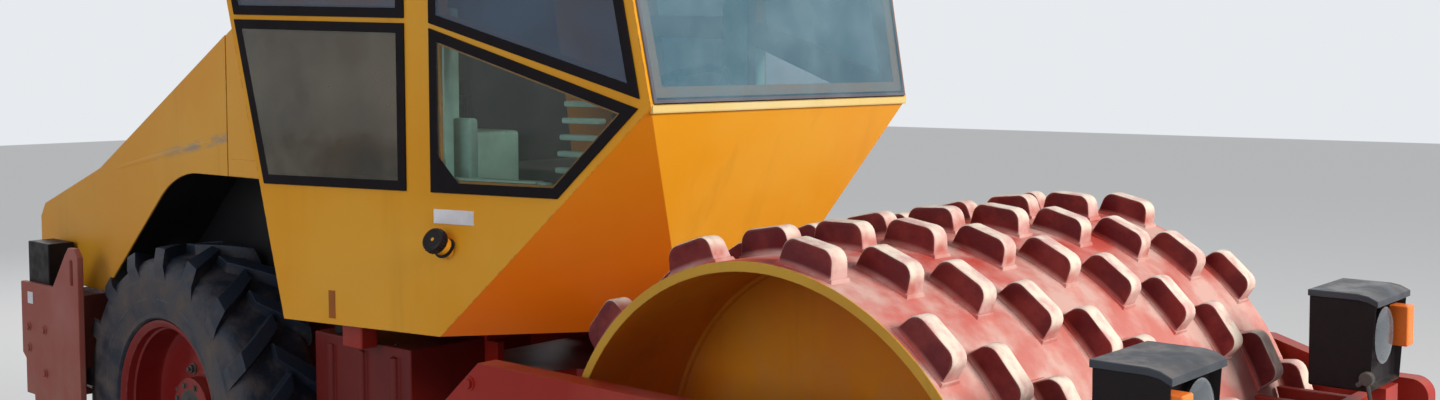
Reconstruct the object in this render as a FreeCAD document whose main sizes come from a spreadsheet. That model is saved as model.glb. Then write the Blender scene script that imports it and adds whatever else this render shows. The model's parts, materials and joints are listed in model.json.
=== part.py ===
import FreeCAD
import Part

import math
import os
import re

import Sketcher
from FreeCAD import Vector

# Single-drum road roller with padfoot drum, hinged in the middle.
# X runs forward, Y to the left, Z up. The origin is on the ground, at the middle of the machine.
# Lengths in millimetres, angles in degrees.

doc = FreeCAD.newDocument("road_roller")
sheet = doc.addObject("Spreadsheet::Sheet", "Sizes")

# alias, value, meaning
sizeTable = [
    ("wheelbase", 2628, "drum axle to rear axle"),
    ("front_reach", 945, "drum axle to the front of the side beams"),
    ("rear_reach", 1027, "rear axle to the end of the hood"),
    ("running_gap", 5, "clearance between moving pieces"),
    ("seat_gap", 0.3, "clearance of a glued or bolted seat"),
    ("joint_gap", 0.05, "radial clearance of a turning pin"),
    # drum
    ("drum_width", 1550, "length of the drum shell"),
    ("shell_radius", 635, "outside radius of the shell"),
    ("shell_wall", 24, "thickness of the shell"),
    ("foot_height", 64, "height of a foot over the shell"),
    ("foot_long", 148, "foot length round the shell at its base"),
    ("foot_top", 114, "foot length at its tip"),
    ("foot_thick", 60, "foot thickness along the axle at its base"),
    ("foot_thin", 48, "foot thickness at its tip"),
    ("foot_corner", 18, "chamfer at the ends of the foot's tip"),
    ("foot_sink", 8, "how far the foot's root lies in the shell"),
    ("foot_columns", 11, "rings of feet along the drum"),
    ("foot_count", 12, "feet in each ring"),
    ("foot_turn", 9.14, "turn of each ring against the one before"),
    ("foot_start", 11.2, "turn of the first ring"),
    ("foot_edge", 21, "drum end to the first ring's feet"),
    ("bulkhead_depth", 380, "drum end to the bulkhead"),
    ("bulkhead_plate", 20, "thickness of the bulkhead"),
    ("drum_hub_radius", 130, "outside radius of the drum hub"),
    ("drum_hub_length", 90, "length of the drum hub"),
    ("journal_radius", 60, "radius of the journal that carries the drum"),
    # rear wheels
    ("tyre_radius", 578, "outside radius over the lugs"),
    ("tyre_width", 315, "tyre width"),
    ("tyre_outer", 803, "middle of the machine to the tyre's outer face"),
    ("lug_height", 32, "lug height over the carcass"),
    ("lug_width", 40, "width of a lug's top"),
    ("lug_flare", 9, "how much wider a lug is at its foot, on each side"),
    ("lug_count", 17, "lugs on each side of a tyre"),
    ("lug_angle", 42, "angle of a lug to the axle"),
    ("tyre_facets", 2, "flats of the carcass from one lug to the next"),
    ("lug_overlap", 18, "how far a lug crosses the tyre's middle"),
    ("shoulder_drop", 52, "how far the tyre's shoulder falls off"),
    ("shoulder_wide", 34, "width of the tyre's shoulder"),
    ("rim_radius", 327, "radius of the rim flange"),
    ("rim_seat", 305, "radius of the tyre's bead seat"),
    ("rim_wall", 12, "thickness of the rim"),
    ("rim_width", 262, "width over the rim flanges"),
    ("disc_depth", 150, "flange to the wheel disc"),
    ("disc_plate", 18, "thickness of the wheel disc"),
    ("hub_radius", 115, "radius of the wheel hub"),
    ("hub_back", 60, "hub length inside the disc"),
    ("hub_reach", 60, "hub length outside the disc"),
    # front frame
    ("side_gap", 28, "drum end to the side beams"),
    ("beam_thick", 60, "thickness of a side beam"),
    ("beam_top", 1012, "height of the side beams"),
    ("beam_low", 500, "underside of the side beams"),
    ("beam_rear", 985, "drum axle to the rear end of the front frame"),
    ("beam_slope_long", 138, "length of the slant at the side beam's rear end"),
    ("beam_slope_high", 117, "height of the slant at the side beam's rear end"),
    ("beam_front_top", 945, "height of the side beams at their front end"),
    ("beam_fall", 420, "front end to where the side beam's top starts to fall"),
    ("beam_level", 200, "front end to where the side beam's top is level again"),
    ("beam_nose", 45, "radius of the side beam's front corner"),
    ("beam_chin", 90, "slant under the side beam's front end"),
    ("beam_heel", 60, "slant under the side beam's rear end"),
    ("tie_down_back", 210, "front end to the tie-down holes"),
    ("tie_down_level", 780, "height of the tie-down holes"),
    ("tie_down_radius", 28, "radius of the tie-down holes"),
    ("front_beam_deep", 130, "depth of the front beam"),
    ("front_beam_top", 850, "top of the front beam"),
    ("front_beam_low", 560, "underside of the front beam"),
    ("front_beam_set", 20, "side beams' front end to the front beam"),
    ("yoke_deep", 150, "depth of the rear beam of the front frame"),
    ("yoke_top", 800, "top of the rear beam"),
    ("stub_long", 200, "length of the oscillation stub"),
    ("stub_root", 30, "how far the stub is let into the rear beam"),
    ("support_half", 226, "half width of the drum support plate"),
    ("support_plate", 25, "thickness of the drum support plate"),
    ("support_mount", 40, "length of the rubber mounts"),
    ("support_mount_radius", 45, "radius of the rubber mounts"),
    ("support_mount_inset", 70, "plate's edge to the middle of a rubber mount"),
    ("housing_radius", 110, "radius of the drum bearing housing"),
    ("housing_gap", 12, "drum hub to the bearing housing"),
    ("scraper_thick", 24, "thickness of a scraper finger"),
    ("scraper_gap", 12, "scraper finger to the shell"),
    ("scraper_high", 60, "height of a scraper finger"),
    ("scraper_bar", 36, "depth of the bar that carries the fingers"),
    ("scraper_end", 30, "side beam to the end of a scraper bar"),
    ("lamp_long", 165, "depth of a front lamp box"),
    ("lamp_wide", 228, "width of a front lamp box"),
    ("lamp_low", 968, "underside of a front lamp box"),
    ("lamp_high", 226, "height of a front lamp box"),
    ("lamp_out", 566, "middle of the machine to a front lamp box's middle"),
    ("lamp_set", 18, "front end to the front of a lamp box"),
    ("lamp_lid", 14, "thickness of a lamp box's lid"),
    ("lamp_lip", 10, "how far a lamp box's lid stands out"),
    ("lamp_recess", 16, "depth of the recess in front of the lamps"),
    ("lamp_rim", 18, "width of the rim round the lamps"),
    ("lamp_post", 90, "width of a lamp box's post"),
    ("lamp_post_long", 40, "depth of a lamp box's post"),
    # centre joint
    ("pivot_back", 1300, "drum axle to the centre pin"),
    ("pivot_level", 640, "height of the oscillation axis"),
    ("pivot_radius", 45, "radius of the centre pin"),
    ("link_radius", 85, "outside radius of the link's upright tube"),
    ("link_half", 130, "half height of the link's tube"),
    ("hitch_plate", 40, "thickness of the hitch plates"),
    ("hitch_half", 150, "half width of the hitch plates"),
    ("pin_head", 10, "how far the centre pin stands out of the hitch plates"),
    ("bearing_radius", 110, "outside radius of the oscillation bearing"),
    ("bearing_start", 40, "centre pin to the rear end of the bearing"),
    ("stub_radius", 55, "radius of the oscillation stub"),
    ("arm_reach", 215, "centre pin to the steering rod's pin"),
    ("arm_plate", 22, "thickness of the steering arm plates"),
    ("eye_thick", 40, "thickness of a cylinder eye"),
    ("eye_radius", 38, "outside radius of a cylinder eye"),
    ("eye_play", 1, "cylinder eye to the plates beside it"),
    ("ram_pin", 16, "radius of the cylinder pins"),
    ("barrel_radius", 42, "outside radius of a cylinder barrel"),
    ("rod_radius", 20, "radius of a cylinder rod"),
    ("barrel_back", 640, "centre pin to the barrel's pin, lengthwise"),
    ("barrel_side", 250, "middle of the machine to the barrel's pin"),
    ("barrel_length", 430, "barrel pin to the barrel's mouth"),
    ("barrel_base", 45, "eye to the bottom of the barrel's bore"),
    ("rod_start", 195, "eye to the rod's inner end at rest"),
    # rear frame
    ("rail_half", 340, "middle of the machine to a rail's outside"),
    ("rail_thick", 25, "thickness of a rail"),
    ("rail_top", 920, "top of the rails"),
    ("rail_low", 465, "underside of the rails"),
    ("rail_lead", 100, "centre pin to the rails' front end"),
    ("rail_over_axle", 665, "underside of the rails over the rear axle"),
    ("rail_rise", 140, "length of the rise in the rails' underside"),
    ("rail_step", 508, "rear axle to the rise of the rails' underside"),
    ("hitch_long", 410, "centre pin to the rear edge of the hitch plates"),
    ("cross_gap", 60, "barrel pin to the cross plate behind the rams"),
    ("cross_plate", 20, "thickness of the cross plates"),
    ("axle_plate_back", 190, "rear axle to the cross plate behind it"),
    ("mount_long", 90, "length of a cab mount"),
    ("mount_front", 1450, "drum axle to the front cab mounts"),
    ("mount_rear", 1690, "drum axle to the rear cab mounts"),
    ("saddle_half", 70, "half length of the axle's saddles"),
    ("saddle_out", 20, "how far a saddle stands out beside its rail"),
    # side tanks and steps
    ("tank_front", 1460, "drum axle to the side tanks"),
    ("tank_long", 500, "length of a side tank"),
    ("tank_out", 620, "middle of the machine to a tank's outside"),
    ("tank_top", 930, "top of the side tanks"),
    ("tank_low", 500, "underside of the side tanks"),
    ("tank_slant", 90, "slant under the side tanks"),
    ("rib_thick", 30, "width of a tank's rib"),
    ("rib_proud", 12, "how far a rib stands out"),
    ("rib_start", 60, "front of the tank to the first rib"),
    ("rib_pitch", 165, "distance of the ribs"),
    ("tread_long", 290, "length of a step's tread"),
    ("tread_wide", 150, "width of a step's tread"),
    ("tread_thick", 25, "thickness of a step's tread"),
    ("tread_rise", 200, "height from one tread to the next"),
    ("tread_start", 205, "front of the tank to the steps"),
    ("cheek_plate", 12, "thickness of the plates beside the treads"),
    ("cheek_over", 60, "how far the side plates rise over the upper tread"),
    # rear bumper
    ("bumper_half", 865, "middle of the machine to the rear side plates"),
    ("bumper_plate", 22, "thickness of the rear side plates"),
    ("bumper_rear", 909, "rear axle to the rear plate"),
    ("bumper_front", 440, "rear axle to the front of the side plates"),
    ("bumper_top", 966, "top of the side plates"),
    ("bumper_low", 470, "underside of the side plates"),
    ("bumper_waist", 694, "height of the side plate's upper corner"),
    ("bumper_knee", 634, "height of the side plate's lower corner"),
    ("bumper_in", 84, "rear plate to the side plate's lower corner"),
    ("bumper_foot", 100, "rear plate to the side plate's foot"),
    ("lug_top", 1121, "top of the lifting lugs"),
    ("lug_long", 100, "length of a lifting lug"),
    ("lug_chamfer", 28, "chamfer of a lifting lug"),
    ("lug_slope", 104, "length of the slope behind a lifting lug"),
    ("eye_slot", 12, "half width of the lifting slot"),
    ("eye_slot_high", 90, "height of the lifting slot"),
    ("eye_slot_drop", 45, "top of the lug to the slot"),
    ("eye_slot_back", 50, "front of the side plates to the slot"),
    ("box_front", 693, "rear axle to the front of the corner boxes"),
    ("box_top", 914, "top of the corner boxes"),
    ("box_low", 540, "underside of the corner boxes"),
    ("wall_low", 600, "underside of the rear wall"),
    ("rear_lamp_inner", 745, "middle of the machine to a rear lamp box"),
    ("rear_lamp_rear", 888, "rear axle to the back of a rear lamp box"),
    ("rear_lamp_long", 169, "length of a rear lamp box"),
    ("rear_lamp_high", 202, "height of a rear lamp box"),
    ("rear_lamp_recess", 12, "depth of the recess in a rear lamp box"),
    ("axle_radius", 75, "radius of the rear axle housing"),
    ("axle_case", 165, "radius of the differential case"),
    ("axle_case_half", 130, "half width of the differential case"),
    ("axle_neck", 75, "wheel disc to the end of the axle housing"),
    ("spindle_reach", 30, "how far the spindle passes the wheel disc"),
    ("engine_long", 640, "length of the engine"),
    ("engine_wide", 560, "width of the engine"),
    ("engine_top", 1280, "top of the engine"),
    ("engine_low", 760, "underside of the engine"),
    ("engine_back", 60, "rear axle to the engine's front end"),
    ("radiator_gap", 30, "rear wall to the radiator"),
    ("radiator_thick", 80, "thickness of the radiator"),
    ("radiator_top", 1180, "top of the radiator"),
    # cab
    ("cab_front", 518, "drum axle to the cab's front corner at the belt"),
    ("cab_belt", 1659, "height of the belt at the front corner"),
    ("cab_front_half", 564, "half width at the front corner"),
    ("cab_toe", 0.2, "how fast the sides widen rearwards"),
    ("cab_bottom", 1012, "underside of the cab"),
    ("cab_knee", 1210, "drum axle to the lower corner of the side"),
    ("cab_nose", 777, "drum axle to the foot of the front panel"),
    ("cab_nose_half", 171, "half width of the front panel at its foot"),
    ("cab_rear", 1808, "drum axle to the rear wall at its foot"),
    ("cab_lean", 0.224, "how fast the rear wall leans back"),
    ("cab_top", 2700, "top of the cab's walls"),
    ("screen_lean", 0.194, "how fast the windscreen leans back"),
    ("cab_wall", 40, "thickness of the cab's walls"),
    ("pane_thick", 6, "thickness of the glass"),
    ("pane_lap", 34, "how far the glass laps over its frame"),
    ("screen_edge", 10, "cab's edges to the windscreen"),
    ("screen_lap", 10, "how far the windscreen laps over its frame"),
    ("pillar_front", 1232, "drum axle to the front of the middle pillar"),
    ("pillar_rear", 1322, "drum axle to the rear of the middle pillar"),
    ("sill_level", 1416, "lower edge of the side windows"),
    ("belt_middle", 1892, "height of the belt at the middle pillar"),
    ("belt_rear", 1917, "height of the belt at the rear"),
    ("belt_half", 7, "half height of the belt rail between the panes"),
    ("window_margin", 24, "pane to the cab's edges"),
    ("tip_set", 8, "how far the lower pane's tip is cut back"),
    ("rear_pane_low", 2040, "lower edge of the rear window"),
    ("rear_pane_inset", 70, "rear window to the cab's sides"),
    ("roof_thick", 120, "height of the roof"),
    ("roof_lip", 60, "roof overhang"),
    ("roof_round", 90, "radius of the roof's corners"),
    ("roof_chamfer", 45, "chamfer round the roof's top"),
    ("door_gap", 8, "gap round the door"),
    ("door_margin", 62, "rear wall to the door's edge"),
    ("door_low", 1066, "lower edge of the door"),
    ("door_high", 2625, "upper edge of the door"),
    ("door_frame", 14, "door's edge to its glass"),
    ("door_stile", 70, "hinge side of the door to its glass"),
    ("door_corner", 40, "cut at the door's upper hinge corner"),
    ("hinge_out", 12, "door hinge axis outside the cab's side"),
    ("hinge_pin", 6, "radius of the hinge pins"),
    ("hinge_tube", 12, "outside radius of the hinge knuckles"),
    ("hinge_long", 80, "length of a hinge knuckle"),
    ("hinge_end", 28, "length of a fixed knuckle"),
    ("hinge_play", 3, "gap between two knuckles"),
    ("hinge_leaf", 9, "thickness of a hinge leaf"),
    ("hinge_leaf_long", 46, "length of a hinge leaf"),
    ("handle_out", 34, "how far the door's handle stands out"),
    ("handle_thick", 16, "thickness of the door's handle"),
    ("handle_long", 150, "length of the door's handle"),
    ("handle_inset", 60, "front edge of the door to its handle"),
    # hood
    ("hood_half", 730, "half width of the hood"),
    ("hood_wall", 6, "thickness of the hood"),
    ("cowl_top", 1989, "height of the cowl behind the cab"),
    ("cowl_long", 231, "length of the cowl's top"),
    ("cowl_gap", 12, "gap between cab and cowl"),
    ("seam_gap", 6, "gap between cowl and hood"),
    ("hood_slope", 0.528, "fall of the cowl and of the hood's front part"),
    ("tail_long", 497, "length of the hood's flatter tail"),
    ("tail_slope", 0.338, "fall of the hood's tail"),
    ("hood_low", 952, "lower edge of the hood"),
    ("hood_chamfer", 38, "chamfer along the hood's rear upper edge"),
    ("arch_flat", 1412, "top of the wheel arch"),
    ("arch_reach", 509, "rear axle to the rear foot of the wheel arch"),
    ("arch_lead", 17, "rear axle to the arch's upper corner"),
    ("arch_round", 390, "radius of the arch's upper corner"),
    ("grille_rows", 5, "slots in the hood's rear grille"),
    ("grille_half", 520, "half width of the grille"),
    ("grille_low", 985, "height of the lowest slot"),
    ("grille_slot", 20, "height of a grille slot"),
    ("grille_pitch", 38, "distance of the grille slots"),
    ("hood_hinge_out", 350, "middle of the machine to a hood hinge"),
    ("hood_hinge_lift", 3, "hood's seam to the underside of its hinge knuckles"),
    ("hood_leaf", 60, "length of a hood hinge's leaf"),
    ("ear_plate", 18, "thickness of a hood hinge's ear"),
    ("ear_gap", 4, "hood knuckle to the ear beside it"),
    ("wall_lead", 130, "seam to the engine wall"),
    ("wall_plate", 8, "thickness of the engine wall"),
    ("fender_plate", 6, "thickness of the inner fenders"),
    ("fender_inner", 450, "middle of the machine to the inner fenders"),
    ("fender_gap", 8, "inner fender to the hood's side"),
    ("fender_drop", 12, "edge of the wheel arch to the inner fender"),
    # inside the cab
    ("seat_front", 1250, "drum axle to the front of the seat's cushion"),
    ("seat_long", 490, "length of the cushion"),
    ("seat_wide", 470, "width of the cushion"),
    ("seat_base_high", 290, "height of the seat's base"),
    ("seat_base_inset", 50, "cushion's edge to the base"),
    ("cushion_high", 110, "height of the cushion"),
    ("backrest_high", 580, "height of the backrest"),
    ("backrest_thick", 110, "thickness of the backrest at its foot"),
    ("backrest_thin", 75, "thickness of the backrest at its top"),
    ("backrest_lean", 100, "how far the backrest leans back"),
    ("backrest_wide", 430, "width of the backrest"),
    ("console_out", 300, "middle of the machine to the side console"),
    ("console_wide", 190, "width of the side console"),
    ("console_front", 1330, "drum axle to the side console"),
    ("console_long", 330, "length of the side console"),
    ("console_high", 520, "height of the side console"),
    ("dash_rear", 805, "drum axle to the dashboard's rear face"),
    ("dash_wide", 400, "width of the dashboard"),
    ("dash_gap", 70, "front panel to the dashboard"),
    ("dash_low", 330, "cab floor to the dashboard's underside"),
    ("dash_drop", 30, "belt to the dashboard's top"),
    ("dash_rise", 30, "how far the dashboard's hood rises"),
    ("dash_hood", 130, "dashboard's rear face to the top of its hood"),
    ("dash_stand", 120, "width of the dashboard's stand"),
    ("dash_stand_foot", 840, "drum axle to the foot of the dashboard's stand"),
    ("dash_stand_long", 60, "length of the stand's foot"),
    ("column_level", 215, "belt to the foot of the steering column"),
    ("column_back", 50, "dashboard to the foot of the steering column"),
    ("column_tilt", 30, "steering column's lean from upright"),
    ("column_radius", 36, "radius of the steering column"),
    ("column_long", 200, "length of the steering column"),
    ("column_bracket", 90, "width and height of the column's bracket"),
    ("shaft_radius", 12, "radius of the steering shaft"),
    ("wheel_seat", 258, "foot of the column to the steering wheel"),
    ("wheel_radius", 178, "radius of the steering wheel's rim"),
    ("wheel_grip", 13, "half thickness of the steering wheel's rim"),
    ("wheel_hub", 40, "radius of the steering wheel's hub"),
    ("spoke_wide", 26, "width of a spoke"),
    ("spoke_thick", 10, "thickness of a spoke"),
    ("filler_back", 1183, "drum axle to the filler neck"),
    ("filler_level", 1262, "height of the filler neck"),
    ("filler_radius", 26, "radius of the filler neck"),
    ("filler_cap", 32, "radius of the filler cap"),
    ("filler_tilt", 0.55, "how far the filler neck points up"),
]

for row, (alias, value, meaning) in enumerate(sizeTable, start=1):
    sheet.set("A%d" % row, meaning)
    sheet.set("B%d" % row, str(value))
    sheet.setAlias("B%d" % row, alias)
doc.recompute()

aliases = {alias for alias, value, meaning in sizeTable}

# places that follow from the sizes
places = {
    "drum_x": "(wheelbase + rear_reach - front_reach) / 2",
    "drum_z": "sqrt((shell_radius + foot_height)^2 + (foot_top / 2 - foot_corner)^2)",
    "axle_x": "(drum_x - wheelbase)",
    "pivot_x": "(drum_x - pivot_back)",
    "frame_half": "(drum_width / 2 + side_gap + beam_thick)",
    "ram_pin_x": "(pivot_x - barrel_back)",
    "tyre_inner": "(tyre_outer - tyre_width)",
    "tyre_middle": "(tyre_outer - tyre_width / 2)",
    "tank_x": "(drum_x - tank_front)",
    "cab_back": "(cab_rear + cab_lean * (cowl_top - cab_bottom) + cowl_gap)",
    "hood_seam": "(cab_back + cowl_long)",
    "hood_seam_top": "(cowl_top - cowl_long * hood_slope)",
    "hood_kink": "(wheelbase + rear_reach - tail_long)",
    "hood_kink_top": "(hood_seam_top - (hood_kink - hood_seam) * hood_slope)",
    "hood_end_top": "(hood_kink_top - tail_long * tail_slope)",
    "hood_end_x": "(axle_x - rear_reach)",
    "arch_rear": "(wheelbase + arch_reach)",
    "arch_bend": "(wheelbase - arch_lead)",
    "wall_back": "(hood_seam - wall_lead)",
    "wall_top": "(hood_seam_top + wall_lead * hood_slope)",
    "cab_floor_top": "(cab_bottom + cab_wall)",
    "front_x": "(drum_x + front_reach)",
    "front_beam_x": "(front_x - front_beam_set - front_beam_deep)",
}


def bound(text):
    """Expression for the document from a text of size and place names."""
    def swap(match):
        word = match.group(0)
        if word in places:
            return "(" + bound(places[word]) + ")"
        if word in aliases:
            return "Sizes." + word
        return word
    return re.sub(r"[a-z_]+", swap, str(text))


def number(text):
    """Value of a text of size and place names."""
    return float(sheet.evalExpression(bound(text)))


def newBody(label):
    body = doc.addObject("PartDesign::Body", label)
    body.Label = label
    return body


def originPlane(body, role):
    for feature in body.Origin.OriginFeatures:
        if feature.Role == role:
            return feature
    raise ValueError(role)


def outline(body, name, plane, corners, offset="0"):
    """Closed sketch of straight lines; corners are pairs of size texts."""
    sketch = body.newObject("Sketcher::SketchObject", name)
    sketch.AttachmentSupport = [(originPlane(body, plane), "")]
    sketch.MapMode = "FlatFace"
    sketch.setExpression("AttachmentOffset.Base.z", bound(offset))
    values = [Vector(number(u), number(v), 0) for u, v in corners]
    for index, start in enumerate(values):
        sketch.addGeometry(Part.LineSegment(start, values[(index + 1) % len(values)]), False)
    for index in range(len(values)):
        following = (index + 1) % len(values)
        sketch.addConstraint(Sketcher.Constraint("Coincident", index, 2, following, 1))
    for index, (u, v) in enumerate(corners):
        for kind, text, value in (("DistanceX", u, values[index].x), ("DistanceY", v, values[index].y)):
            constraint = sketch.addConstraint(Sketcher.Constraint(kind, -1, 1, index, 1, value))
            sketch.setExpression("Constraints[%d]" % constraint, bound(text))
    return sketch


def circle(body, name, plane, centre, radius, offset="0"):
    """Sketch of one circle; centre is a pair of size texts."""
    sketch = body.newObject("Sketcher::SketchObject", name)
    sketch.AttachmentSupport = [(originPlane(body, plane), "")]
    sketch.MapMode = "FlatFace"
    sketch.setExpression("AttachmentOffset.Base.z", bound(offset))
    middle = Vector(number(centre[0]), number(centre[1]), 0)
    sketch.addGeometry(Part.Circle(middle, Vector(0, 0, 1), number(radius)), False)
    for kind, text, value in (("DistanceX", centre[0], middle.x), ("DistanceY", centre[1], middle.y)):
        constraint = sketch.addConstraint(Sketcher.Constraint(kind, -1, 1, 0, 3, value))
        sketch.setExpression("Constraints[%d]" % constraint, bound(text))
    constraint = sketch.addConstraint(Sketcher.Constraint("Radius", 0, number(radius)))
    sketch.setExpression("Constraints[%d]" % constraint, bound(radius))
    return sketch


def pad(body, sketch, length, both=False, back=False, cut=False):
    kind = "PartDesign::Pocket" if cut else "PartDesign::Pad"
    feature = body.newObject(kind, sketch.Name + ("_cut" if cut else "_pad"))
    feature.Profile = sketch
    feature.setExpression("Length", bound(length))
    feature.Midplane = both
    feature.Reversed = back
    sketch.Visibility = False
    return feature


def cylinderAcross(body, name, centre, radius, low, high, cut=False):
    """Round bar along Y between two places."""
    sketch = circle(body, name, "XZ_Plane", centre, radius, "-(%s)" % high)
    return pad(body, sketch, "(%s) - (%s)" % (high, low), cut=cut, back=cut)


def box(body, name, low, high, cut=False):
    """Block between two corners given as triples of size texts."""
    corners = [(low[0], low[1]), (high[0], low[1]), (high[0], high[1]), (low[0], high[1])]
    sketch = outline(body, name, "XY_Plane", corners, low[2])
    return pad(body, sketch, "(%s) - (%s)" % (high[2], low[2]), cut=cut, back=cut)


def roundAcross(body, base, name, x, z, radius):
    """Fillet of the edge that runs along Y through a place in the XZ plane."""
    doc.recompute()
    spot = Vector(number(x), 0, number(z))
    names = []
    for index, edge in enumerate(base.Shape.Edges, start=1):
        ends = [edge.Vertexes[0].Point, edge.Vertexes[-1].Point]
        near = all(abs(end.x - spot.x) < 1 and abs(end.z - spot.z) < 1 for end in ends)
        if near and abs(ends[0].y - ends[1].y) > 1:
            names.append("Edge%d" % index)
    fillet = body.newObject("PartDesign::Fillet", name)
    fillet.Base = (base, names)
    fillet.setExpression("Radius", bound(radius))
    return fillet


def feature(label, shape):
    item = doc.addObject("Part::Feature", label)
    item.Label = label
    item.Shape = shape
    return item


parts = []


def keep(item):
    parts.append(item)
    return item


# drum: shell, feet in turned rings, bulkheads with hubs

drumX = number("drum_x")
drumZ = number("drum_z")


def alongY(shape, x, z):
    """Turn a shape made round Z to lie along Y at a place in the XZ plane."""
    shape.rotate(Vector(0, 0, 0), Vector(1, 0, 0), -90)
    shape.translate(Vector(x, 0, z))
    return shape


def tubeAlongY(outer, inner, low, high, x, z):
    tube = Part.makeCylinder(outer, high - low, Vector(0, 0, low))
    if inner:
        tube = tube.cut(Part.makeCylinder(inner, high - low + 2, Vector(0, 0, low - 1)))
    return alongY(tube, x, z)


def turned(section):
    """Solid of revolution round Z from pairs of radius and height."""
    face = Part.Face(Part.makePolygon([Vector(u, 0, v) for u, v in section + section[:1]]))
    return face.revolve(Vector(0, 0, 0), Vector(0, 0, 1), 360)


def closed(rings):
    """Solid between two matching rings of corners whose sides are flat."""
    first, second = rings
    faces = [Part.Face(Part.makePolygon(ring + ring[:1])) for ring in rings]
    for index in range(len(first)):
        following = (index + 1) % len(first)
        corners = [first[index], first[following], second[following], second[index]]
        faces.append(Part.Face(Part.makePolygon(corners + corners[:1])))
    shell = Part.Shell(faces)
    shell.sewShape()
    solid = Part.Solid(Part.Shell(shell.Faces))
    if solid.Volume < 0:
        solid.reverse()
    return solid


def manySided(section, sides):
    """Ring of flat-sided frusta round Z from pairs of radius and height."""
    turns = [2 * math.pi * step / sides for step in range(sides)]
    faces = []
    for index, (r0, z0) in enumerate(section):
        r1, z1 = section[(index + 1) % len(section)]
        for step, turn in enumerate(turns):
            following = turns[(step + 1) % sides]
            corners = [Vector(r * math.cos(a), r * math.sin(a), z)
                       for r, z, a in ((r0, z0, turn), (r0, z0, following), (r1, z1, following), (r1, z1, turn))]
            faces.append(Part.Face(Part.makePolygon(corners + corners[:1])))
    shell = Part.Shell(faces)
    shell.sewShape()
    solid = Part.Solid(Part.Shell(shell.Faces))
    if solid.Volume < 0:
        solid.reverse()
    return solid


def makeFoot():
    """One foot, root in the shell's surface, standing up along Z and tapering to its tip."""
    base, tip = number("foot_long") / 2, number("foot_top") / 2
    thick, thin = number("foot_thick") / 2, number("foot_thin") / 2
    high, corner, sink = number("foot_height"), number("foot_corner"), number("foot_sink")
    flank = (base - tip) / high
    profile = [(-base - flank * sink, -sink), (base + flank * sink, -sink),
               (tip + flank * corner, high - corner), (tip - corner, high),
               (-tip + corner, high), (-tip - flank * corner, high - corner)]
    slant = (thick - thin) / high
    return closed([[Vector(u, sign * (thick - slant * v), v) for u, v in profile] for sign in (-1, 1)])


def ringPlaces():
    """Place of the first ring of feet from the drum's middle, and the distance of the rings."""
    first = number("drum_width") / 2 - number("foot_edge") - number("foot_thick") / 2
    return first, 2 * first / (number("foot_columns") - 1)


def makeDrumShell():
    radius = number("shell_radius")
    half = number("drum_width") / 2
    shell = tubeAlongY(radius, radius - number("shell_wall"), -half, half, drumX, drumZ)
    foot = makeFoot()
    columns, count = int(number("foot_columns")), int(number("foot_count"))
    first, pitch = ringPlaces()
    feet = []
    for column in range(columns):
        turn = number("foot_start") + column * number("foot_turn")
        for step in range(count):
            item = foot.copy()
            item.translate(Vector(0, 0, radius))
            item.rotate(Vector(0, 0, 0), Vector(0, 1, 0), turn + step * 360 / count)
            item.translate(Vector(drumX, column * pitch - first, drumZ))
            feet.append(item)
    return shell.multiFuse(feet)


keep(feature("drum_shell", makeDrumShell()))


def makeBulkheads():
    half = number("drum_width") / 2
    inside = number("shell_radius") - number("shell_wall")
    depth, plate = number("bulkhead_depth"), number("bulkhead_plate")
    bore = number("journal_radius") + number("joint_gap")
    hub, reach = number("drum_hub_radius"), number("drum_hub_length")
    shapes = []
    for sign in (-1, 1):
        outer = half - depth
        item = turned([(bore, outer - plate), (inside, outer - plate), (inside, outer), (hub, outer),
                       (hub, outer + reach), (bore, outer + reach)])
        if sign < 0:
            item.rotate(Vector(0, 0, 0), Vector(1, 0, 0), 180)
        shapes.append(alongY(item, drumX, drumZ))
    return Part.makeCompound(shapes)


keep(feature("drum_bulkheads", makeBulkheads()))

# rear wheels

wheelX = number("axle_x")
wheelZ = number("tyre_radius")


def makeLug(crown, half):
    """One slanted lug, its flanks flared to the foot, its ends square to the axle."""
    lean = math.tan(math.radians(number("lug_angle")))
    wide = number("lug_width") / 2 / math.cos(math.radians(number("lug_angle")))
    flare = number("lug_flare") / number("lug_height")
    floor = crown - number("shoulder_drop") - number("lug_height")
    top = number("tyre_radius") + number("lug_height")
    start, finish = -number("lug_overlap"), half
    rings = []
    for radius in (floor, top):
        grow = wide + flare * (number("tyre_radius") - radius)
        rings.append([Vector(start * lean - grow, radius, start), Vector(start * lean + grow, radius, start),
                      Vector(finish * lean + grow, radius, finish), Vector(finish * lean - grow, radius, finish)])
    return closed(rings)


def makeTyre(sign):
    """Carcass turned round the axle, with two rows of slanted lugs."""
    outer, half = number("tyre_radius"), number("tyre_width") / 2
    crown = outer - number("lug_height")
    count = int(number("lug_count"))
    sides = count * int(number("tyre_facets"))
    bead = (number("rim_seat") + number("seat_gap")) / math.cos(math.pi / sides)
    seat = number("rim_width") / 2 - 2 * number("rim_wall")
    shoulder = crown - number("shoulder_drop")
    flat = half - number("shoulder_wide")
    carcass = manySided([(bead, -seat), (shoulder, -half), (crown, -flat), (crown, flat), (shoulder, half), (bead, seat)],
                        sides)
    tread = Part.makeCylinder(outer, 2 * half, Vector(0, 0, -half))
    upper = makeLug(crown, half).common(tread)
    lower = upper.mirror(Vector(0, 0, 0), Vector(0, 0, 1))
    lugs = []
    for step in range(count):
        for shape, turn in ((upper, 0), (lower, 180 / count)):
            item = shape.copy()
            item.rotate(Vector(0, 0, 0), Vector(0, 0, 1), step * 360 / count + turn)
            lugs.append(item)
    tyre = alongY(carcass.multiFuse(lugs), wheelX, wheelZ)
    tyre.translate(Vector(0, sign * number("tyre_middle"), 0))
    return tyre


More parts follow.
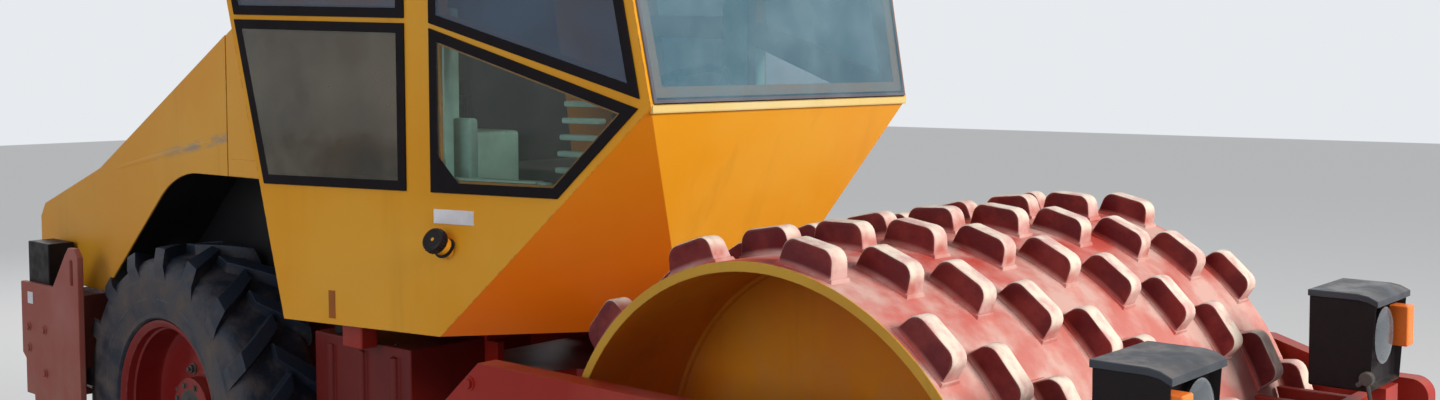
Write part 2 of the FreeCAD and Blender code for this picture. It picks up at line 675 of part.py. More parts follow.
def makeRim(sign):
    """Rim with its flanges, dished disc and hub in one turned section."""
    seat, flange, wall = number("rim_seat"), number("rim_radius"), number("rim_wall")
    half = number("rim_width") / 2
    disc = half - number("disc_depth")
    plate, hub = number("disc_plate"), number("hub_radius")
    neck = seat - wall
    bore = number("journal_radius") + number("joint_gap")
    back, reach = disc - number("hub_back"), disc + number("hub_reach")
    floor = disc + number("spindle_reach") + number("running_gap")
    rim = turned([(seat, wall - half), (flange, wall - half), (flange, -half), (neck, -half), (neck, disc - plate),
                  (hub, disc - plate), (hub, back), (bore, back), (bore, floor), (0, floor), (0, reach),
                  (hub, reach), (hub, disc), (neck, disc), (neck, half), (flange, half), (flange, half - wall),
                  (seat, half - wall)])
    if sign < 0:
        rim.rotate(Vector(0, 0, 0), Vector(1, 0, 0), 180)
    rim = alongY(rim, wheelX, wheelZ)
    rim.translate(Vector(0, sign * number("tyre_middle"), 0))
    return rim


for side, sign in (("right", -1), ("left", 1)):
    keep(feature("tyre_" + side, makeTyre(sign)))
    keep(feature("rim_" + side, makeRim(sign)))

axle = newBody("rear_axle")
reach = "tyre_middle + rim_width / 2 - disc_depth"
for name, radius, end in (("housing", "axle_radius", reach + " - axle_neck"),
                          ("spindle", "journal_radius", reach + " + spindle_reach"),
                          ("differential", "axle_case", "axle_case_half")):
    cylinderAcross(axle, name, ("axle_x", "tyre_radius"), radius, "-(%s)" % end, end)
for name, low, high in (("right", "-rail_half - saddle_out", "-rail_half + rail_thick + saddle_out"),
                        ("left", "rail_half - rail_thick - saddle_out", "rail_half + saddle_out")):
    box(axle, "saddle_" + name, ("axle_x - saddle_half", low, "tyre_radius"),
        ("axle_x + saddle_half", high, "rail_over_axle"))
keep(axle)

# front frame: side beams, front beam, rear beam with the oscillation stub

frame = newBody("front_frame")
beam = [("drum_x - beam_rear", "beam_low + beam_heel"), ("drum_x - beam_rear + beam_heel", "beam_low"),
        ("front_x - beam_chin", "beam_low"), ("front_x", "beam_low + beam_chin"), ("front_x", "beam_front_top"),
        ("front_x - beam_level", "beam_front_top"), ("front_x - beam_fall", "beam_top"),
        ("drum_x - beam_rear + beam_slope_long", "beam_top"), ("drum_x - beam_rear", "beam_top - beam_slope_high")]
for side, start in (("right", "frame_half - beam_thick"), ("left", "-frame_half")):
    blank = pad(frame, outline(frame, side + "_beam", "XZ_Plane", beam, start), "beam_thick")
    hole = circle(frame, "tie_down_" + side, "XZ_Plane", ("front_x - tie_down_back", "tie_down_level"),
                  "tie_down_radius", start + " - 1")
    beams = pad(frame, hole, "beam_thick + 2", cut=True, back=True)
roundAcross(frame, beams, "beam_noses", "front_x", "beam_front_top", "beam_nose")
inner = "frame_half - beam_thick / 2"
box(frame, "front_beam", ("front_beam_x", "-(%s)" % inner, "front_beam_low"),
    ("front_beam_x + front_beam_deep", inner, "front_beam_top"))
box(frame, "rear_beam", ("drum_x - beam_rear", "-(%s)" % inner, "beam_low + beam_heel"),
    ("drum_x - beam_rear + yoke_deep", inner, "yoke_top"))
for side, middle in (("right", "-lamp_out"), ("left", "lamp_out")):
    box(frame, "lamp_post_" + side,
        ("front_x - lamp_set - lamp_post_long", middle + " - lamp_post / 2", "front_beam_top"),
        ("front_x - lamp_set", middle + " + lamp_post / 2", "lamp_low"))
stub = circle(frame, "stub", "YZ_Plane", ("0", "pivot_level"), "stub_radius",
              "drum_x - beam_rear - stub_long")
pad(frame, stub, "stub_long + stub_root")
keep(frame)

supports = newBody("drum_supports")
for name, sign in (("right", -1), ("left", 1)):
    def across(low, high):
        return ("-(%s)" % high, "-(%s)" % low) if sign < 0 else (low, high)
    inner = "frame_half - beam_thick - support_mount"
    low, high = across(inner + " - support_plate", inner)
    box(supports, "plate_" + name, ("drum_x - support_half", low, "drum_z - support_half"),
        ("drum_x + support_half", high, "drum_z + support_half"))
    low, high = across(inner, "frame_half - beam_thick")
    for spot, (dx, dz) in enumerate(((-1, -1), (1, -1), (-1, 1), (1, 1))):
        place = "%s + %d * (support_half - support_mount_inset)"
        cylinderAcross(supports, "mount_%s_%d" % (name, spot),
                       (place % ("drum_x", dx), place % ("drum_z", dz)), "support_mount_radius", low, high)
    low, high = across("drum_width / 2 - bulkhead_depth + drum_hub_length + housing_gap",
                       inner + " - support_plate")
    cylinderAcross(supports, "housing_" + name, ("drum_x", "drum_z"), "housing_radius", low, high)
    low, high = across("drum_width / 2 - bulkhead_depth", inner + " - support_plate")
    cylinderAcross(supports, "journal_" + name, ("drum_x", "drum_z"), "journal_radius", low, high)
keep(supports)


def makeScraper(face, sign, level):
    """Comb with a finger between each two rings of feet; face is the beam's side towards the drum."""
    columns = int(number("foot_columns"))
    first, pitch = ringPlaces()
    half = number("drum_width") / 2 + number("side_gap") - number("scraper_end")
    thick, high, deep = number("scraper_thick"), number("scraper_high"), number("scraper_bar")
    radius = number("shell_radius") + number("scraper_gap")
    low = math.sqrt(radius ** 2 - (level - drumZ) ** 2)
    top = math.sqrt(radius ** 2 - (level + high - drumZ) ** 2)
    bar = Part.makeBox(deep, 2 * half, high, Vector(face if sign > 0 else face - deep, -half, level))
    root = face + sign * deep / 2
    fingers = []
    for column in range(columns - 1):
        y = (column + 0.5) * pitch - first - thick / 2
        corners = [Vector(drumX + sign * low, y, level), Vector(root, y, level),
                   Vector(root, y, level + high), Vector(drumX + sign * top, y, level + high)]
        fingers.append(Part.Face(Part.makePolygon(corners + corners[:1])).extrude(Vector(0, thick, 0)))
    return bar.multiFuse(fingers)


frontScraper = makeScraper(number("front_beam_x"), 1, number("front_beam_top"))
rearScraper = makeScraper(drumX - number("beam_rear") + number("yoke_deep"), -1, number("yoke_top"))
keep(feature("scrapers", Part.makeCompound([frontScraper, rearScraper])))

lamps = newBody("front_lamps")
for name, sign in (("right", "-"), ("left", "")):
    middle = sign + "lamp_out"
    front = "front_x - lamp_set"
    box(lamps, "case_" + name, (front + " - lamp_long", middle + " - lamp_wide / 2", "lamp_low"),
        (front, middle + " + lamp_wide / 2", "lamp_low + lamp_high"))
    box(lamps, "lid_" + name, (front + " - lamp_long", middle + " - lamp_wide / 2 - lamp_lip", "lamp_low + lamp_high"),
        (front + " + lamp_lip", middle + " + lamp_wide / 2 + lamp_lip", "lamp_low + lamp_high + lamp_lid"))
    box(lamps, "recess_" + name,
        (front + " - lamp_recess", middle + " - lamp_wide / 2 + lamp_rim", "lamp_low + lamp_rim"),
        (front + " + 1", middle + " + lamp_wide / 2 - lamp_rim", "lamp_low + lamp_high - lamp_rim"), cut=True)
keep(lamps)

# centre joint: link on the upright pin, bearing for the oscillation stub, arms for the rams

link = newBody("centre_link")
tube = circle(link, "tube", "XY_Plane", ("pivot_x", "0"), "link_radius", "pivot_level - link_half")
pad(link, tube, "2 * link_half")
bearing = circle(link, "bearing", "YZ_Plane", ("0", "pivot_level"), "bearing_radius", "pivot_x + bearing_start")
pad(link, bearing, "pivot_back - beam_rear - bearing_start - running_gap")
plates = (("low", "pivot_level - eye_thick / 2 - eye_play - arm_plate"), ("high", "pivot_level + eye_thick / 2 + eye_play"))
for name, level in plates:
    box(link, "arm_" + name, ("pivot_x - eye_radius", "-arm_reach - eye_radius", level),
        ("pivot_x + eye_radius", "arm_reach + eye_radius", level + " + arm_plate"))
bore = circle(link, "pin_bore", "XY_Plane", ("pivot_x", "0"), "pivot_radius + joint_gap", "pivot_level - link_half - 1")
pad(link, bore, "2 * link_half + 2", cut=True, back=True)
bore = circle(link, "stub_bore", "YZ_Plane", ("0", "pivot_level"), "stub_radius + joint_gap",
              "drum_x - beam_rear - stub_long - running_gap")
pad(link, bore, "2 * stub_long", cut=True, back=True)
keep(link)

# steering rams

barrelX = number("ram_pin_x")
barrelY = number("barrel_side")
eyeX = number("pivot_x")
eyeY = number("arm_reach")
level = number("pivot_level")


def makeRam(sign):
    """Barrel and rod of one ram, laid from the barrel's pin to the rod's eye."""
    start = Vector(barrelX, sign * barrelY, level)
    finish = Vector(eyeX, sign * eyeY, level)
    along = (finish - start).normalize()
    span = (finish - start).Length
    eye, thick = number("eye_radius"), number("eye_thick")
    mouth, wall = number("barrel_length"), number("barrel_radius")
    base = eye + 2 * number("running_gap")
    barrel = Part.makeCylinder(wall, mouth - base, start + along * base, along)
    ring = Part.makeCylinder(eye, thick, start - Vector(0, 0, thick / 2))
    neck = Part.makeBox(eye + wall / 2, thick, thick, Vector(0, -thick / 2, -thick / 2))
    neck.rotate(Vector(0, 0, 0), Vector(0, 0, 1), math.degrees(math.atan2(along.y, along.x)))
    neck.translate(start)
    hole = Part.makeCylinder(number("ram_pin") + number("joint_gap"), thick + 2, start - Vector(0, 0, thick / 2 + 1))
    bottom = eye + number("barrel_base")
    chamber = Part.makeCylinder(number("rod_radius") + number("joint_gap"), mouth, start + along * bottom, along)
    barrel = barrel.fuse([ring, neck]).cut(hole).cut(chamber)
    inner = eye + number("rod_start")
    rod = Part.makeCylinder(number("rod_radius"), span - inner, start + along * inner, along)
    head = Part.makeCylinder(eye, thick, finish - Vector(0, 0, thick / 2))
    return barrel, rod.fuse(head)


for side, sign in (("right", -1), ("left", 1)):
    barrel, rod = makeRam(sign)
    keep(feature("ram_barrel_" + side, barrel))
    keep(feature("ram_rod_" + side, rod))

# rear frame: rails, hitch plates with the upright pin, cross plates, ears for the rams

rear = newBody("rear_frame")
railFront = "pivot_x - rail_lead"
railRear = "axle_x - bumper_rear + bumper_plate"
railStep = "axle_x + rail_step"
rail = [(railFront, "rail_low"), (railFront, "rail_top"), (railRear, "rail_top"), (railRear, "rail_over_axle"),
        (railStep + " - rail_rise", "rail_over_axle"), (railStep, "rail_low")]
for side, start in (("right", "rail_half - rail_thick"), ("left", "-rail_half")):
    pad(rear, outline(rear, side + "_rail", "XZ_Plane", rail, start), "rail_thick")
inner = "(rail_half - rail_thick / 2)"
for name, low in (("lower", "pivot_level - link_half - running_gap - hitch_plate"),
                  ("upper", "pivot_level + link_half + running_gap")):
    plate = [("pivot_x - hitch_long", "-" + inner), (railFront, "-" + inner), ("pivot_x", "-hitch_half * 0.7"),
             ("pivot_x + link_radius", "-hitch_half / 3"), ("pivot_x + link_radius", "hitch_half / 3"),
             ("pivot_x", "hitch_half * 0.7"), (railFront, inner), ("pivot_x - hitch_long", inner)]
    pad(rear, outline(rear, name + "_hitch", "XY_Plane", plate, low), "hitch_plate")
pin = circle(rear, "upright_pin", "XY_Plane", ("pivot_x", "0"), "pivot_radius",
             "pivot_level - link_half - running_gap - hitch_plate - pin_head")
pad(rear, pin, "2 * (link_half + running_gap + hitch_plate + pin_head)")
crossRam = "ram_pin_x - cross_gap"
crossAxle = "axle_x - axle_plate_back"
crossEngine = "axle_x - engine_back - engine_long + cross_gap"
for name, x, z0, z1 in (("ram_plate", crossRam, "rail_low", "rail_top - cross_gap"),
                        ("axle_plate", crossAxle, "rail_over_axle", "engine_low"),
                        ("engine_plate", crossEngine, "rail_over_axle", "engine_low")):
    box(rear, name, (x + " - cross_plate", "-" + inner, z0), (x, inner, z1))
for side, sign in (("right", "-"), ("left", "")):
    middle = sign + "barrel_side"
    for name, level in plates:
        box(rear, "ear_%s_%s" % (name, side), (crossRam + " - 1", middle + " - eye_radius", level),
            ("ram_pin_x + eye_radius", middle + " + eye_radius", level + " + arm_plate"))
    ram = circle(rear, "ram_pin_" + side, "XY_Plane", ("ram_pin_x", middle), "ram_pin",
                 "pivot_level - eye_thick / 2 - eye_play - arm_plate / 2")
    pad(rear, ram, "eye_thick + 2 * eye_play + arm_plate")
    for name, start in (("front", "mount_front"), ("rear", "mount_rear")):
        edge = "-rail_half" if sign else "rail_half - mount_long"
        box(rear, "cab_mount_%s_%s" % (name, side), ("drum_x - %s - mount_long" % start, edge, "rail_top"),
            ("drum_x - " + start, edge + " + mount_long", "cab_bottom - seat_gap"))
keep(rear)

tanks = newBody("side_tanks")
for side, sign in (("right", -1), ("left", 1)):
    def across(low, high):
        return ("-(%s)" % high, "-(%s)" % low) if sign < 0 else (low, high)
    low, high = across("rail_half", "tank_out")
    foot = across("rail_half", "tank_out - tank_slant")
    corners = [(low, "tank_top"), (high, "tank_top")]
    if sign < 0:
        corners += [(high, "tank_low"), (foot[0], "tank_low"), (low, "tank_low + tank_slant")]
    else:
        corners += [(high, "tank_low + tank_slant"), (foot[1], "tank_low"), (low, "tank_low")]
    pad(tanks, outline(tanks, "tank_" + side, "YZ_Plane", corners, "tank_x - tank_long"), "tank_long")
    low, high = across("tank_out - 1", "tank_out + rib_proud")
    for rib in range(3 if sign < 0 else 1):
        start = "tank_x - rib_start - %d * rib_pitch - rib_thick" % rib
        box(tanks, "rib_%s_%d" % (side, rib), (start, low, "tank_low + tank_slant"),
            (start + " + rib_thick", high, "tank_top - rib_thick"))
keep(tanks)

bumper = newBody("rear_bumper")
tail = "axle_x - bumper_rear"
nose = "axle_x - bumper_front"
plate = [(tail, "bumper_top"), (tail, "bumper_waist"), (tail + " + bumper_in", "bumper_knee"),
         (tail + " + bumper_foot", "bumper_low"), (nose, "bumper_low"), (nose, "lug_top - lug_chamfer"),
         (nose + " - lug_chamfer", "lug_top"), (nose + " - lug_long + lug_chamfer", "lug_top"),
         (nose + " - lug_long", "lug_top - lug_chamfer"), (nose + " - lug_long - lug_slope", "bumper_top")]
slot = [(nose + " - eye_slot_back - eye_slot", "lug_top - eye_slot_drop - eye_slot_high"),
        (nose + " - eye_slot_back + eye_slot", "lug_top - eye_slot_drop - eye_slot_high"),
        (nose + " - eye_slot_back + eye_slot", "lug_top - eye_slot_drop"),
        (nose + " - eye_slot_back - eye_slot", "lug_top - eye_slot_drop")]
for side, start in (("right", "bumper_half - bumper_plate"), ("left", "-bumper_half")):
    pad(bumper, outline(bumper, "plate_" + side, "XZ_Plane", plate, start), "bumper_plate")
    pad(bumper, outline(bumper, "slot_" + side, "XZ_Plane", slot, start + " - 1"), "bumper_plate + 2", cut=True, back=True)
inner = "(bumper_half - bumper_plate / 2)"
for side, low, high in (("right", "-" + inner, "-rail_half"), ("left", "rail_half", inner)):
    box(bumper, "box_" + side, (tail, low, "box_low"), ("axle_x - box_front", high, "box_top"))
box(bumper, "rear_wall", (tail, "-" + inner, "wall_low"), (tail + " + bumper_plate", inner, "box_top"))
keep(bumper)

rearLamps = newBody("rear_lamps")
for side, low, high in (("right", "-bumper_half + bumper_plate + seat_gap", "-rear_lamp_inner"),
                        ("left", "rear_lamp_inner", "bumper_half - bumper_plate - seat_gap")):
    back = "axle_x - rear_lamp_rear"
    box(rearLamps, "case_" + side, (back, low, "box_top"),
        (back + " + rear_lamp_long", high, "box_top + rear_lamp_high"))
    box(rearLamps, "recess_" + side, (back + " - 1", low + " + rear_lamp_recess", "box_top + rear_lamp_recess"),
        (back + " + rear_lamp_recess", high + " - rear_lamp_recess", "box_top + rear_lamp_high - rear_lamp_recess"), cut=True)
keep(rearLamps)

engine = newBody("engine_block")
box(engine, "block", ("axle_x - engine_back - engine_long", "-engine_wide / 2", "engine_low"),
    ("axle_x - engine_back", "engine_wide / 2", "engine_top"))
keep(engine)

radiator = newBody("radiator")
box(radiator, "core", (railRear + " + radiator_gap", "-rail_half + rail_thick", "rail_over_axle"),
    (railRear + " + radiator_gap + radiator_thick", "rail_half - rail_thick", "radiator_top"))
keep(radiator)

# hood and cowl: one outline along the machine, hollow underneath

seamRear = "drum_x - hood_seam - seam_gap / 2"
seamFront = "drum_x - hood_seam + seam_gap / 2"
skinDrop = "1.12 * hood_wall"

hood = newBody("hood")
skin = [(seamRear, "hood_seam_top"), ("drum_x - hood_kink", "hood_kink_top"),
        ("hood_end_x + hood_chamfer", "hood_end_top + hood_chamfer * tail_slope"),
        ("hood_end_x", "hood_end_top - hood_chamfer"), ("hood_end_x", "hood_low"), ("drum_x - arch_rear", "hood_low"),
        ("drum_x - arch_bend", "arch_flat"), (seamRear, "arch_flat")]
hoodPad = pad(hood, outline(hood, "skin", "XZ_Plane", skin), "2 * hood_half", both=True)


roundAcross(hood, hoodPad, "arch_round_edge", "drum_x - arch_bend", "arch_flat", "arch_round")
inside = [("drum_x - hood_seam + 1", "hood_seam_top - " + skinDrop),
          ("drum_x - hood_kink", "hood_kink_top - " + skinDrop),
          ("hood_end_x + hood_chamfer + 0.6 * hood_wall", "hood_end_top + hood_chamfer * tail_slope - " + skinDrop),
          ("hood_end_x + hood_wall", "hood_end_top - hood_chamfer - 0.6 * hood_wall"),
          ("hood_end_x + hood_wall", "hood_low - 1"), ("drum_x - hood_seam + 1", "hood_low - 1")]
pad(hood, outline(hood, "hollow", "XZ_Plane", inside), "2 * (hood_half - hood_wall)", both=True, cut=True)
for row in range(int(number("grille_rows"))):
    for column in (-2, -1, 0, 1):
        level = "grille_low + %d * grille_pitch" % row
        box(hood, "slot_%d_%d" % (row, column + 2),
            ("hood_end_x - 1", "grille_half * %s + grille_slot / 2" % (column / 2), level),
            ("hood_end_x + hood_wall + 1", "grille_half * %s - grille_slot / 2" % ((column + 1) / 2),
             level + " + grille_slot"), cut=True)
hinge = ("drum_x - hood_seam", "hood_seam_top + hinge_tube + hood_hinge_lift")
for side, sign in (("right", "-"), ("left", "")):
    low, high = ("-hood_hinge_out - hinge_long", "-hood_hinge_out") if sign else ("hood_hinge_out", "hood_hinge_out + hinge_long")
    cylinderAcross(hood, "knuckle_" + side, hinge, "hinge_tube", low, high)
    leaf = [("drum_x - hood_seam - hood_leaf", "hood_seam_top - hood_leaf * hood_slope - 2"),
            ("drum_x - hood_seam - hood_leaf", "hood_seam_top - hood_leaf * hood_slope + hood_wall"),
            ("drum_x - hood_seam - 4", "hood_seam_top + hinge_tube"), (seamRear, "hood_seam_top - 2")]
    pad(hood, outline(hood, "leaf_" + side, "XZ_Plane", leaf, "-(%s)" % high), "hinge_long")
    cylinderAcross(hood, "bore_" + side, hinge, "hinge_pin + joint_gap", low + " - 1", high + " + 1", cut=True)
keep(hood)

cabBack = "drum_x - (cab_rear + cab_lean * (%s - cab_bottom) + cowl_gap)"
cowl = newBody("engine_cowl")
skin = [(cabBack % "cowl_top", "cowl_top"), (seamFront, "hood_seam_top"), (seamFront, "arch_flat"),
        (cabBack % "arch_flat", "arch_flat")]
pad(cowl, outline(cowl, "skin", "XZ_Plane", skin), "2 * hood_half", both=True)
inside = [(cabBack % "cowl_top" + " + 5", "cowl_top - %s + 5 * hood_slope" % skinDrop),
          ("drum_x - hood_seam - 1", "hood_seam_top - " + skinDrop), ("drum_x - hood_seam - 1", "arch_flat - 1"),
          (cabBack % "arch_flat" + " + 5", "arch_flat - 1")]
pad(cowl, outline(cowl, "hollow", "XZ_Plane", inside), "2 * (hood_half - hood_wall)", both=True, cut=True)
edge = "(hood_half - hood_wall / 2)"
wall = [("-rail_half", "rail_top"), ("rail_half", "rail_top"), ("rail_half", "arch_flat"), (edge, "arch_flat"),
        (edge, "wall_top - hood_wall / 2"), ("-" + edge, "wall_top - hood_wall / 2"), ("-" + edge, "arch_flat"),
        ("-rail_half", "arch_flat")]
pad(cowl, outline(cowl, "engine_wall", "YZ_Plane", wall, "drum_x - wall_back - wall_plate"), "wall_plate")
for side, sign in (("right", "-"), ("left", "")):
    low = ("-hood_hinge_out - hinge_long" if sign else "hood_hinge_out") + " - ear_plate - ear_gap"
    high = ("-hood_hinge_out" if sign else "hood_hinge_out + hinge_long") + " + ear_plate + ear_gap"
    cylinderAcross(cowl, "pin_" + side, hinge, "hinge_pin", low, high)
    ear = [("drum_x - hood_seam - 8", "hood_seam_top + hinge_tube / 2"),
           ("drum_x - hood_seam - 8", "hood_seam_top + hinge_tube + 8 + hood_hinge_lift"),
           ("drum_x - hood_seam + 12", "hood_seam_top + hinge_tube + 10 + hood_hinge_lift"),
           ("drum_x - hood_seam + 40", "hood_seam_top + 40 * hood_slope - hood_wall / 2"),
           ("drum_x - hood_seam + 4", "hood_seam_top - hood_wall / 2")]
    for spot, start in (("low", "-(%s)" % high), ("high", "-(%s) - ear_plate" % low)):
        pad(cowl, outline(cowl, "ear_%s_%s" % (side, spot), "XZ_Plane", ear, start), "ear_plate")
keep(cowl)

# inner fenders: a wall beside the engine bay and a bent plate over each tyre

fenders = newBody("inner_fenders")
front = "drum_x - wall_back - wall_plate"
foot = "drum_x - arch_rear - fender_drop"
bend = "drum_x - arch_bend - fender_drop"
level = "arch_flat + fender_drop"
roof = [(front, level), (bend, level), (foot, "hood_low"), (foot + " - 1.4 * fender_plate", "hood_low"),
        (bend + " - 0.4 * fender_plate", level + " + fender_plate"), (front, level + " + fender_plate")]
panel = [(front, "rail_top"), (front, level + " + 1"), (bend, level + " + 1"), (foot + " - 1", "hood_low"),
         (foot + " - 1", "rail_top")]
outer = "hood_half - hood_wall - fender_gap"
for side, sign in (("right", -1), ("left", 1)):
    start = "fender_inner" if sign < 0 else "-(%s)" % outer
    pad(fenders, outline(fenders, "roof_" + side, "XZ_Plane", roof, start), outer + " - fender_inner")
    start = "fender_inner" if sign < 0 else "-fender_inner - fender_plate"
    pad(fenders, outline(fenders, "panel_" + side, "XZ_Plane", panel, start), "fender_plate")
keep(fenders)

# cab: flat panels, mitred along their shared edges, each cut for its windows

cabFrontX = drumX - number("cab_front")


def halfAt(x):
    """Half width of the cab's outer side at a place along the machine."""
    return number("cab_front_half") + number("cab_toe") * (cabFrontX - x)


def rearAt(z):
    """Place of the rear wall's outer face at a height."""
    return drumX - number("cab_rear") - number("cab_lean") * (z - number("cab_bottom"))


def onSide(x, z, sign):
    return Vector(x, sign * halfAt(x), z)


def cabCorners(sign):
    bottom, top = number("cab_bottom"), number("cab_top")
    belt = number("cab_belt")
    screenTop = cabFrontX - number("screen_lean") * (top - belt)
    return {
        "belt": onSide(cabFrontX, belt, sign),
        "brow": onSide(screenTop, top, sign),
        "knee": onSide(drumX - number("cab_knee"), bottom, sign),
        "nose": Vector(drumX - number("cab_nose"), sign * number("cab_nose_half"), bottom),
        "heel": onSide(rearAt(bottom), bottom, sign),
        "crown": onSide(rearAt(top), top, sign),
    }


right, left = cabCorners(-1), cabCorners(1)
cabMiddle = (right["belt"] + left["belt"] + right["crown"] + left["heel"]) * 0.25


def planeOf(points, inset):
    """Plane through three points, moved towards the cab's middle."""
    normal = (points[1] - points[0]).cross(points[2] - points[0]).normalize()
    if normal.dot(cabMiddle - points[0]) < 0:
        normal = normal * -1
    return points[0] + normal * inset, normal


def meet(planes):
    """Common point of three planes."""
    (p1, n1), (p2, n2), (p3, n3) = planes
    scale = n1.dot(n2.cross(n3))
    return (n2.cross(n3) * p1.dot(n1) + n3.cross(n1) * p2.dot(n2) + n1.cross(n2) * p3.dot(n3)) / scale


wallIn = number("cab_wall")


def innerCorners(corners, other):
    side = planeOf([corners["belt"], corners["knee"], corners["heel"]], wallIn)
    front = planeOf([corners["belt"], corners["nose"], other["nose"]], wallIn)
    facet = planeOf([corners["belt"], corners["knee"], corners["nose"]], wallIn)
    screen = planeOf([corners["belt"], other["belt"], corners["brow"]], wallIn)
    rearWall = planeOf([corners["heel"], other["heel"], corners["crown"]], wallIn)
    floor = planeOf([corners["knee"], corners["heel"], other["heel"]], wallIn)
    ceiling = planeOf([corners["brow"], corners["crown"], other["crown"]], 0)
    return {
        "belt": meet([side, front, screen]),
        "brow": meet([side, screen, ceiling]),
        "knee": meet([side, facet, floor]),
        "nose": meet([front, facet, floor]),
        "heel": meet([side, rearWall, floor]),
        "crown": meet([side, rearWall, ceiling]),
    }


rightIn, leftIn = innerCorners(right, left), innerCorners(left, right)


def mitred(outer, inner):
    """Panel between two matching rings of corners."""
    faces = [Part.Face(Part.makePolygon(outer + outer[:1])), Part.Face(Part.makePolygon(inner + inner[:1]))]
    count = len(outer)
    for index in range(count):
        following = (index + 1) % count
        a, b, c, d = outer[index], outer[following], inner[following], inner[index]
        lean = abs((b - a).cross(d - a).normalize().dot(c - a))
        if lean < 1e-4:
            faces.append(Part.Face(Part.makePolygon([a, b, c, d, a])))
            continue
        swap = (a.y, a.z, a.x) > (b.y, b.z, b.x)
        pieces = [(a, b, c), (a, c, d)] if swap else [(a, b, d), (b, c, d)]
        for triangle in pieces:
            faces.append(Part.Face(Part.makePolygon(list(triangle) + [triangle[0]])))
    shell = Part.Shell(faces)
    shell.sewShape()
    solid = Part.Solid(Part.Shell(shell.Faces))
    if solid.Volume < 0:
        solid.reverse()
    return solid


def ring(corners, inner, names):
    return [corners[name] for name in names], [inner[name] for name in names]


def shrink(points, distance):
    """Same outline moved inwards by a distance, or outwards if it is negative."""
    if not distance:
        return points
    normal = (points[1] - points[0]).cross(points[2] - points[1]).normalize()
    moved = []
    lines = []
    for index in range(len(points)):
        along = (points[(index + 1) % len(points)] - points[index]).normalize()
        inward = normal.cross(along)
        lines.append((points[index] + inward * distance, along))
    for index in range(len(points)):
        (p, u), (q, v) = lines[index - 1], lines[index]
        across = normal.cross(v)
        moved.append(p + u * ((q - p).dot(across) / u.dot(across)))
    return moved


def slab(points, normal, start, thick):
    face = Part.Face(Part.makePolygon([point + normal * start for point in points + points[:1]]))
    return face.extrude(normal * thick)


def sideNormal(sign):
    return Vector(number("cab_toe"), sign, 0).normalize()


def beltAt(x):
    """Height of the belt rail's middle along the side."""
    pillar = drumX - (number("pillar_front") + number("pillar_rear")) / 2
    if x > pillar:
        share = (cabFrontX - x) / (cabFrontX - pillar)
        return number("cab_belt") + share * (number("belt_middle") - number("cab_belt"))
    share = (pillar - x) / (pillar - rearAt(number("belt_rear")))
    return number("belt_middle") + share * (number("belt_rear") - number("belt_middle"))


def creaseAt(z):
    """Place of the crease between side and facet at a height."""
    share = (z - number("cab_bottom")) / (number("cab_belt") - number("cab_bottom"))
    return drumX - number("cab_knee") + share * (number("cab_knee") - number("cab_front"))


def sidePanes(sign):
    """Outlines of the four panes of one side: front and rear, under and over the belt rail."""
    margin, half, cutBack = number("window_margin"), number("belt_half"), number("tip_set")
    sill, top = number("sill_level"), number("cab_top") - 2 * number("window_margin")
    front, back = drumX - number("pillar_front"), drumX - number("pillar_rear")
    screen = cabFrontX - margin
    lean = number("screen_lean")
    point = creaseAt(sill) - margin * 1.2
    tip = cabFrontX - margin * 1.2
    beltRear = number("belt_rear")
    panes = {
        "front_low": [(front, sill), (point, sill), (tip - cutBack, beltAt(tip) - half - cutBack / 2),
                      (front, beltAt(front) - half)],
        "front_high": [(front, beltAt(front) + half), (screen - cutBack, beltAt(screen) + half + cutBack),
                       (screen - lean * (top - number("cab_belt")), top), (front, top)],
        "rear_low": [(rearAt(sill) + margin, sill), (back, sill), (back, beltAt(back) - half),
                     (rearAt(beltRear) + margin, beltRear - half)],
        "rear_high": [(rearAt(beltRear) + margin, beltRear + half), (back, beltAt(back) + half), (back, top),
                      (rearAt(top) + margin, top)],
    }
    return {name: [onSide(x, z, sign) for x, z in spots] for name, spots in panes.items()}


def makePane(points, normal, margin=0):
    return slab(shrink(points, margin), normal, number("seat_gap"), number("pane_thick"))


def cutWindows(panel, outlines, normal):
    lap = number("pane_lap")
    for points in outlines:
        panel = panel.cut(slab(shrink(points, lap), normal, -wallIn * 2, wallIn * 3))
    return panel


def windingFixed(points, normal):
    """Corners ordered so that their own normal points along the given one."""
    own = (points[1] - points[0]).cross(points[2] - points[1])
    return points if own.dot(normal) > 0 else points[::-1]


sides = {}
for name, sign, corners, inner in (("right", -1, right, rightIn), ("left", 1, left, leftIn)):
    outer, within = ring(corners, inner, ("belt", "brow", "crown", "heel", "knee"))
    panel = mitred(outer, within)
    normal = sideNormal(sign)
    panes = {key: windingFixed(points, normal) for key, points in sidePanes(sign).items()}
    sides[name] = (panel, normal, panes)


def makeFiller(spot, normal):
    """Short neck with its cap, slanting up from the cab's side."""
    slope = (normal + Vector(0, 0, number("filler_tilt"))).normalize()
    neck, cap = number("filler_radius"), number("filler_cap")
    tube = Part.makeCylinder(neck, 2.5 * neck, spot - slope * neck / 2, slope)
    return tube.fuse(Part.makeCylinder(cap, 0.75 * cap, spot + slope * 1.6 * neck, slope))


panel, normal, panes = sides["right"]
filler = makeFiller(onSide(drumX - number("filler_back"), number("filler_level"), -1), normal)
keep(feature("cab_side_right", cutWindows(panel, panes.values(), normal).fuse(filler)))
keep(feature("side_glass_right", Part.makeCompound([makePane(points, normal) for points in panes.values()])))

# left side: door between the middle pillar and the rear wall

panel, normal, panes = sides["left"]
low, high = number("door_low"), number("door_high")
doorFront = drumX - (number("pillar_front") + number("pillar_rear")) / 2
margin = number("door_margin")


